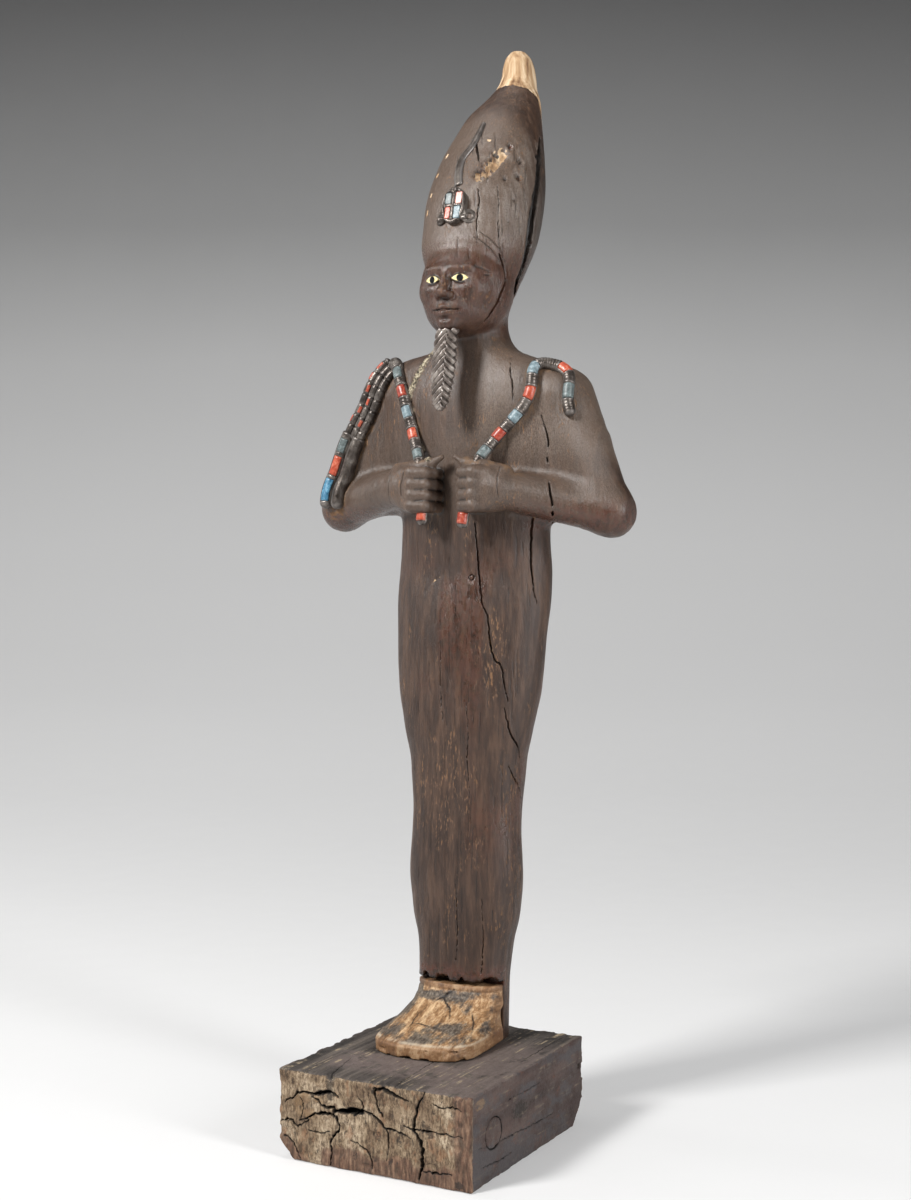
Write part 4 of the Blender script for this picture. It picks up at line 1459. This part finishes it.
FACE_CRACKS = [
    face_crack([(285, 1101), (292, 1098), (299, 1092), (308, 1092)], (0.7, 1.4, 1.4, 1.8)),
    face_crack([(308, 1093), (314, 1094), (328, 1093), (338, 1098)], (2.0, 3.4, 3.2, 1.6)),
    face_crack([(312, 1096), (316, 1100), (324, 1107), (334, 1108)], (1.4, 1.9, 2.0, 2.6)),
    face_crack([(300, 1120), (310, 1116), (319, 1113), (334, 1115)], (1.0, 1.6, 2.0, 2.4)),
    face_crack([(334, 1111), (342, 1111.5), (350, 1112)], (3.0, 4.6, 3.0), deep=14.0),
    face_crack([(348, 1111), (354, 1115), (361, 1111), (373, 1115), (380, 1123), (386, 1129), (396, 1131), (410, 1139)], (2.6, 1.6, 1.4, 1.8, 2.0, 1.6, 1.2, 0.7)),
    face_crack([(337, 1117), (338, 1130), (330, 1142), (331, 1154), (330, 1166)], (1.8, 1.8, 1.5, 1.2, 0.8)),
    face_crack([(374.5, 1092), (376, 1101), (378.5, 1110), (383, 1116)], (2.0, 1.5, 1.4, 1.4)),
    face_crack([(372, 1088), (384, 1091), (394, 1095), (408, 1102)], (1.6, 3.2, 2.6, 1.0)),
    face_crack([(280, 1120), (291, 1119), (298, 1126), (308, 1120)], (1.0, 1.4, 1.2, 0.9)),
    face_crack([(284, 1135), (293, 1143), (298, 1153), (300, 1160)], (0.9, 1.1, 1.0, 0.6)),
    face_crack([(404, 1126), (416, 1130), (444, 1135), (462, 1138)], (1.0, 1.5, 1.0, 0.5)),
    face_crack([(424, 1094), (417, 1107), (414, 1123), (414, 1131), (421.5, 1146), (421.5, 1168), (419, 1181)], (1.2, 1.8, 2.2, 2.8, 3.0, 2.4, 1.2)),
    face_crack([(423, 1172), (437, 1174), (451, 1175)], (1.0, 1.3, 0.6)),
    face_crack([(308, 1129), (318, 1133), (330, 1131)], (0.6, 1.0, 0.6)),
    face_crack([(350, 1140), (362, 1147), (371, 1158), (372, 1170)], (0.6, 0.9, 0.8, 0.5)),
    face_crack([(386, 1129), (389, 1145), (386, 1160)], (1.0, 0.9, 0.5)),
    face_crack([(432, 1104), (440, 1108), (452, 1108), (461, 1112)], (0.8, 1.0, 0.9, 0.5)),
    face_crack([(357, 1096), (362, 1104), (361, 1111)], (0.7, 1.1, 1.2)),
    face_crack([(300, 1097), (303, 1108), (300, 1120)], (0.6, 1.0, 0.7)),
]
SIDE_CRACKS = [
    face_crack([(478, 1150), (500, 1141), (530, 1126), (555, 1112)], (0.3, 0.6, 0.5, 0.3), 0, 68.0, 3.0),
    face_crack([(508, 1100), (520, 1094), (540, 1083)], (0.3, 0.5, 0.3), 0, 68.0, 3.0),
    face_crack([(482, 1168), (500, 1160), (512, 1152)], (0.3, 0.7, 0.3), 0, 68.0, 3.0),
]
TOP_CRACKS = [
    face_crack([(329, 1076), (341, 1066), (352, 1057)], (1.0, 0.6, 0.3), 2, 56.4, 3.0),
    face_crack([(395, 1086), (420, 1070), (440, 1058)], (0.7, 0.5, 0.3), 2, 56.4, 3.0),
    face_crack([(520, 1063), (545, 1047), (566, 1036)], (0.3, 0.6, 0.4), 2, 56.4, 3.0),
]
PLUG, PLUG_HALF = (68.0, -50.2, 28.2), (10.4, 9.4)


def crack_gap(q, cracks, out=1e3):
    """Distance into the nearest crack of a face: below zero inside it. Cracks narrow with depth."""
    f = np.full(q[0].shape, out)
    for path, widths, axis, value, deep in cracks:
        two = [k for k in range(3) if k != axis]
        low, high = path.min(0) - 5, path.max(0) + 5
        inner = value + deep + 4 if value < 0 else value - deep - 4
        a, b = min(value, inner) - 4, max(value, inner) + 4
        i = np.nonzero((q[two[0]] > low[two[0]]) & (q[two[0]] < high[two[0]]) & (q[two[1]] > low[two[1]]) & (q[two[1]] < high[two[1]]) & (q[axis] > a) & (q[axis] < b))[0]
        if not len(i):
            continue
        c = np.stack([q[two[0]][i], q[two[1]][i]], 1)
        under = np.abs(q[axis][i] - value)
        best = np.full(len(i), 1e3)
        for p0, p1, w0, w1 in zip(path, path[1:], widths, widths[1:]):
            p0, p1 = p0[two], p1[two]
            d = p1 - p0
            t = np.clip(((c - p0) @ d) / max(d @ d, 1e-6), 0, 1)
            half = (w0 + (w1 - w0) * t) / 2
            best = np.minimum(best, np.linalg.norm(c - p0 - t[:, None] * d, axis=1) - half * (1 - 0.75 * under / deep))
        f[i] = np.minimum(f[i], np.maximum(best, (under - deep) * 0.5))
    return f


def plinth_field(p):
    shape = np.shape(p[0])
    x, y, z = (np.ravel(np.asarray(v, float)) for v in p)
    q = [x, y, z]
    f = box_field(q, (-68, -79, 0), (68, 79, 56.4), 0.7)
    gaps = np.sort(np.stack([68 - np.abs(x), 79 - np.abs(y), np.minimum(z + 0 * x, 56.4 - z)], 0), 0)
    edge = np.clip(gaps[1], 0, 30)
    wear = fractal(x / 6, y / 6, z / 6, 40, 3)
    at_foot = step01(z, 3.0, 0.6)
    f = f + 1.7 * np.exp(-edge / 1.6) * step01(wear, 0.36, 0.68) * (1 - 0.5 * at_foot)
    end = step01(np.abs(y), 76, 78)
    f = f + end * (0.75 * (fractal(x / 3.6, 0 * y, z / 3.0, 41, 3) - 0.42) + 0.9 * step01(noise(x / 9, 0 * y, z / 7, 42), 0.62, 0.8)) * step01(z, 1.2, 5)
    top = step01(z, 54, 56)
    f = f + top * 0.32 * (fractal(x / 1.7, y / 32, 0 * z, 43, 3) - 0.4)
    side = step01(np.abs(x), 65.5, 67.5)
    f = f + side * 0.42 * (fractal(0 * x, y / 26, z / 1.9, 44, 3) - 0.4)
    # the rougher, sunken grain behind the plug
    rough_side = np.exp(-(((y + 15) / 15) ** 2 + ((z - 33) / 9) ** 2)) * (x > 60)
    f = f + rough_side * 1.1 * (fractal(0 * x, y / 9, z / 1.5, 45, 3) - 0.2)
    ragged = 1.1 * (fractal(x / 2.4, y / 2.4, z / 2.4, 46, 2) - 0.5)
    # the front's irregular top edge, its notch, and the gap at the rear corner
    lip = 0.6 + 2.4 * step01(noise(x / 7.5, 0 * y, 0 * z, 47), 0.5, 0.85) + 1.3 * step01(noise(x / 2.2, 0 * y, 0 * z, 48), 0.5, 0.9)
    corner = ((56.4 - z) + (y + 79)) * 0.70711 - lip
    f = smax(f, -corner, 0.5)
    f = smax(f, -(box_field(q, (-33.2, -90, 53.2), (-28.6, -75.2, 60), 0.8) + ragged), 0.4)
    f = smax(f, -(box_field(q, (61.2, 75.6, 28.6), (90, 90, 39.2), 0.8) + ragged), 0.4)
    rough_edge = 4.5 * (fractal(x / 9, y / 9, z / 9, 49, 3) - 0.5)
    lost = np.maximum((z - 15.5 - 1.15 * (y - 77) + rough_edge) * 0.656, 46 + 0.8 * rough_edge - x)
    f = smax(f, -(lost + ragged), 0.8)
    lost = (-(x + 68) - (z - 9.5) * 0.9) * -0.74 + 0.6 * rough_edge + 1.1 * np.clip(-74 - y, -20, 4) * -0.35
    f = smax(f, -(lost + ragged), 0.8)
    # the end grain is sunk under the notch
    f = f + 2.0 * end * (y < 0) * np.exp(-(((x + 31) / 4.5) ** 2)) * step01(z, 36, 46)
    f = smax(f, -(box_field(q, (60.0, 70.0, 36.5), (90, 74.5, 39.5), 0.6) + ragged), 0.4)
    # the hollow in the front
    hollow = np.sqrt(((x + 12) / 5.6) ** 2 + ((z - 36.0 + 0.1 * x) / 1.7) ** 2 + ((y + 79) / 14.0) ** 2)
    f = smax(f, -((hollow - 1) * 3.0 + 0.6 * ragged), 0.3)
    gap = crack_gap(q, FACE_CRACKS + SIDE_CRACKS + TOP_CRACKS)
    f = smax(f, -(gap + 0.25 * ragged), 0.25)
    # the plug's hole
    hole = (np.sqrt(((y - PLUG[1]) / (PLUG_HALF[0] + 0.3)) ** 2 + ((z - PLUG[2]) / (PLUG_HALF[1] + 0.3)) ** 2) - 1) * 9.5
    f = smax(f, -np.maximum(hole, 54.0 - x), 0.15)
    f = np.maximum(f, -z)
    f = np.maximum(f, z - 56.4)
    return f.reshape(shape)


lines = steps((-69.05, 0.62), (69.05, 0)), steps((-80.05, 0.62), (-74.05, 1.5), (72.05, 0.9), (80.05, 0)), steps((-0.65, 0.62), (57.05, 0))
plinth = make("statue_plinth", *surface_of(plinth_field, *lines, band=5.0), PLINTHWOOD)
co = points_of(plinth)
co = np.clip(co, [-68, -79, 0], [68, 79, 56.4])
set_points(plinth, co)
count = sum(len(p.vertices) - 2 for p in plinth.data.polygons)
reduce_to(plinth, 190000)
co = points_of(plinth)
x, y, z = co.T
gap = crack_gap([x, y, z], FACE_CRACKS + SIDE_CRACKS + TOP_CRACKS)
hollow = np.sqrt(((x + 12) / 5.6) ** 2 + ((z - 36.0 + 0.1 * x) / 1.7) ** 2)
crack_dark = step01(gap, 0.30, -0.15)
crack_dark = np.maximum(crack_dark, step01(hollow, 1.25, 1.0) * (y < -70))
hole = np.sqrt(((y - PLUG[1]) / PLUG_HALF[0]) ** 2 + ((z - PLUG[2]) / PLUG_HALF[1]) ** 2)
crack_dark = np.maximum(crack_dark, 0.85 * step01(np.abs(hole - 1.03), 0.05, 0.02) * (x > 60))
paint(plinth, "crack", crack_dark)
front = step01(y, -76.2, -77.6)
rear = step01(y, 76.5, 78.0)
level = z > 55.3
paint(plinth, "end", np.maximum(front, rear) * ~level)
paint(plinth, "side", step01(np.abs(x), 65.5, 67.3) * (1 - front))
right_strip = 0.9 * step01(x + 3.6 * (noise(0 * x, y / 6, z / 6, 52) - 0.5), 50, 60)
low_band = 0.95 * step01(z + 5 * (noise(x / 7, y / 6, 0 * z, 51) - 0.5), 17.0, 8.0) * step01(x, -40, -34)
corner_ = step01((x + 68) * 0.8 + z, 22, 15)
paint(plinth, "brown", front * np.maximum(np.maximum(low_band, right_strip), corner_))
paint(plinth, "plain", level * np.maximum(step01(y, -22, -27) * step01(y, -66, -52) * step01(x, -58, -40) * step01(x, 62, 46), 0.8 * step01(x, 22, 34) * step01(y, 60, 20)))
paint(plinth, "ochre", np.clip(front * np.exp(-(((x + 46) / 16) ** 2 + ((z - 36) / 12) ** 2)) * 0.9 + (x > 66) * np.exp(-(((y + 68) / 9) ** 2 + ((z - 50) / 4) ** 2)), 0, 1))
dark_side = np.exp(-(((y + 15) / 14) ** 2 + ((z - 33) / 8) ** 2)) * (x > 66)
spots = on_plane([(459, 1186)], 1, -79.0)[0]
dark_spot = np.exp(-(((x - spots[0]) / 3.2) ** 2 + ((z - spots[2]) / 3.0) ** 2)) * front
streak = front * step01(fractal(x / 2.5, 0 * y, z / 7, 53, 3), 0.60, 0.74) * 0.6
streak = np.maximum(streak, 0.75 * front * np.exp(-(((x + 31) / 4.5) ** 2)) * step01(z, 34, 44))
streak = np.maximum(streak, 0.55 * front * np.exp(-(((x - 4) / 6) ** 2 + ((z - 24) / 5) ** 2)))
paint(plinth, "stain", np.clip(np.maximum(np.maximum(dark_side * 0.8, dark_spot), streak), 0, 1))
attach(plinth, "root")
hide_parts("plinth")
print("plinth triangles", count, "->", sum(len(p.vertices) - 2 for p in plinth.data.polygons))


def plug_field(p):
    x, y, z = p
    r = (np.sqrt(((y - PLUG[1]) / PLUG_HALF[0]) ** 2 + ((z - PLUG[2]) / PLUG_HALF[1]) ** 2) - 1) * 9.4
    r = r + 0.5 * (noise(0 * x, y / 3, z / 3, 61) - 0.3)
    face = x - 68.15 + 0.5 * (fractal(x / 2, y / 2.2, z / 2.2, 62, 3) - 0.3) + 0.9 * step01(noise(0 * x, y / 4, z / 4, 63), 0.55, 0.8)
    return smax(smax(r, face, 0.8), 55.2 - x, 0.4)


step_ = 0.5
plug = piece("statue_plinth_plug", surface_of(plug_field, steps((54.1, step_ * 2), (64.1, step_), (69.1, 0)), steps((-61.7, step_), (-38.7, 0)), steps((17.7, step_), (38.7, 0)), band=4.0), PLINTHWOOD, "plinth_wood", "plinth_plug")
co = points_of(plug)
paint(plug, "side", np.full(len(co), 1.0))
paint(plug, "brown", 0.35 * step01(noise(co[:, 0] / 3, co[:, 1] / 3, co[:, 2] / 3, 64), 0.4, 0.6))
paint(plug, "stain", 0.5 * step01(noise(co[:, 0] / 4, co[:, 1] / 4, co[:, 2] / 4, 65), 0.5, 0.7))

# ---------------------------------------------------------------- foot block
FOOT = np.array([
    (56.7, -25.5, 35, -5), (64.3, -25.8, 35, -5), (66.6, -20.5, 34.2, -5), (70, -10.5, 33.2, -4.8), (74, 2, 32.2, -4.6), (79, 15, 31.4, -4.4),
    (85, 25.6, 30.8, -4.2), (93.2, 28, 30.6, -4),
], float)
foot_rows = np.vstack([np.column_stack([np.interp(np.arange(56.7, 93.3, 0.5), FOOT[:, 0], FOOT[:, k]) for k in range(4)])])
for _ in range(2):
    foot_rows[1:-1, 1:] = (foot_rows[:-2, 1:] + 2 * foot_rows[1:-1, 1:] + foot_rows[2:, 1:]) / 4


def foot_shape(p):
    x, y, z = p
    zc = np.clip(z, 56.7, 93.2)
    front, half, cx = (np.interp(zc, foot_rows[:, 0], foot_rows[:, k]) for k in (1, 2, 3))
    deep = np.minimum(26.0, FOOT_JOINT - 0.15 - front)
    turn = front + deep
    qx = np.abs(x - cx) / half
    qy = np.maximum(turn - y, 0) / deep
    rear = 1 - 0.10 * np.clip((y - turn) / np.maximum(FOOT_JOINT - turn, 1), 0, 1) ** 2
    r = ((qx / rear) ** 2.6 + qy**2.6) ** (1 / 2.6)
    f = (r - 1) * np.minimum(deep, half) * 0.9
    f = smax(f, y - (FOOT_JOINT - 0.15), 0.8)
    return smax(f, np.maximum(56.7 - z, z - 93.2), 0.8)


def foot_field(p):
    shape = np.shape(p[0])
    x, y, z = (np.ravel(np.asarray(v, float)) for v in p)
    f = foot_shape([x, y, z])
    f = f + 0.55 * (fractal(x / 5, y / 14, z / 6, 70, 3) - 0.42)
    f = f + 0.35 * step01(z, 66, 70) * (fractal(x / 1.6, y / 16, z / 9, 71, 3) - 0.4)
    # a shallow step under the clean top band, and the lip's top edge
    f = f + 0.45 * np.exp(-(((z - 89.4) / 0.6) ** 2)) * (y < 40)
    d, w = lines_distance(np.stack([x, y, z], 1), FOOT_CRACKS)
    f = smax(f, -(d - w / 2), 0.3)
    chips = step01(noise(x / 4, y / 4, z / 3, 72), 0.70, 0.85) * step01(z, 90, 66)
    f = f + 0.8 * chips
    return np.maximum(f, 56.7 - z).reshape(shape)


FOOT_CRACKS = [
    crack([(437, 1000), (441, 998), (445, 996), (449, 993), (454, 990)], (0.5, 1.4, 1.3, 0.6), field=foot_shape),
    crack([(444, 997), (446, 1003), (450, 1010), (449, 1020)], (1.0, 0.8, 0.7, 0.3), field=foot_shape),
    crack([(403, 1022), (420, 1024), (441, 1030)], (0.3, 0.6, 0.3), field=foot_shape),
    crack([(425, 1008), (415, 1018), (408, 1032)], (0.3, 0.6, 0.3), field=foot_shape),
    crack([(470, 1002), (473, 1020), (471, 1040)], (0.3, 0.6, 0.4), field=foot_shape),
]
step_ = 0.66
foot = make("statue_foot_piece", *surface_of(foot_field, steps((-42.1, step_), (33.1, 0)), steps((-28.1, step_), (45.1, 0)), steps((55.1, step_), (95.1, 0)), band=5.0), FOOTWOOD)
co = points_of(foot)
set_points(foot, np.clip(co, [-60, -60, 56.7], [60, FOOT_JOINT - 0.15, 93.2]))
co = points_of(foot)
x, y, z = co.T
d, w = lines_distance(co, FOOT_CRACKS)
paint(foot, "crack", step01(d, w / 2 + 0.5, w / 2) * (0.5 + 0.5 * (w > 0.5)))
spot = pixel_of(co)


def blob(spots):
    out = np.zeros(len(co))
    for px, py, rx, ry, v in spots:
        out = np.maximum(out, v * np.exp(-(((spot[:, 0] - px) / rx) ** 2 + ((spot[:, 1] - py) / ry) ** 2)))
    return out


shade = blob([(451, 1028, 24, 8, 0.9), (446, 995, 24, 6, 0.85), (465, 995, 16, 8, 0.8), (426, 995, 9, 5, 1.0), (468, 1008, 10, 9, 0.62), (445, 1009, 9, 5, 0.6), (418, 1041, 30, 5, 0.75), (400, 1022, 8, 8, 0.5), (400, 1037, 26, 9, 0.55), (450, 1040, 34, 9, 0.6), (484, 1032, 9, 12, 0.65)])
shade = shade - blob([(432, 1019, 20, 6, 0.5), (412, 1018, 16, 5, 0.5), (476, 1018, 6, 14, 0.55), (440, 1006, 10, 3, 0.4), (455, 986, 40, 3, 0.5)])
shade = np.maximum(shade, 0.55 * (x < -26))
paint(foot, "dark", np.clip(shade, 0, 1) * step01(z, 63, 67))
paint(foot, "lip", np.maximum(0.55 * step01(z, 66.5, 64.5), 0.6 * step01(z, 88.5, 90.5)) + 0.5 * step01(x, 22, 28) * step01(y, 20, 34))
paint(foot, "pale", 0.75 * np.exp(-(((z - 65.6) / 0.55) ** 2)) * (y < 20))
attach(foot, "root")
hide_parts("foot_piece")
reduce_to(foot, 120000)
print("foot triangles", sum(len(p.vertices) - 2 for p in foot.data.polygons))

# ---------------------------------------------------------------- what stays of the frame's own parts
for name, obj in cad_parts.items():
    mat = WHITE if name.startswith("eye_") else BLACK if name.startswith("pupil_") else None
    if mat:
        for o in obj if isinstance(obj, (list, tuple)) else [obj]:
            o.data.materials.clear()
            o.data.materials.append(mat)
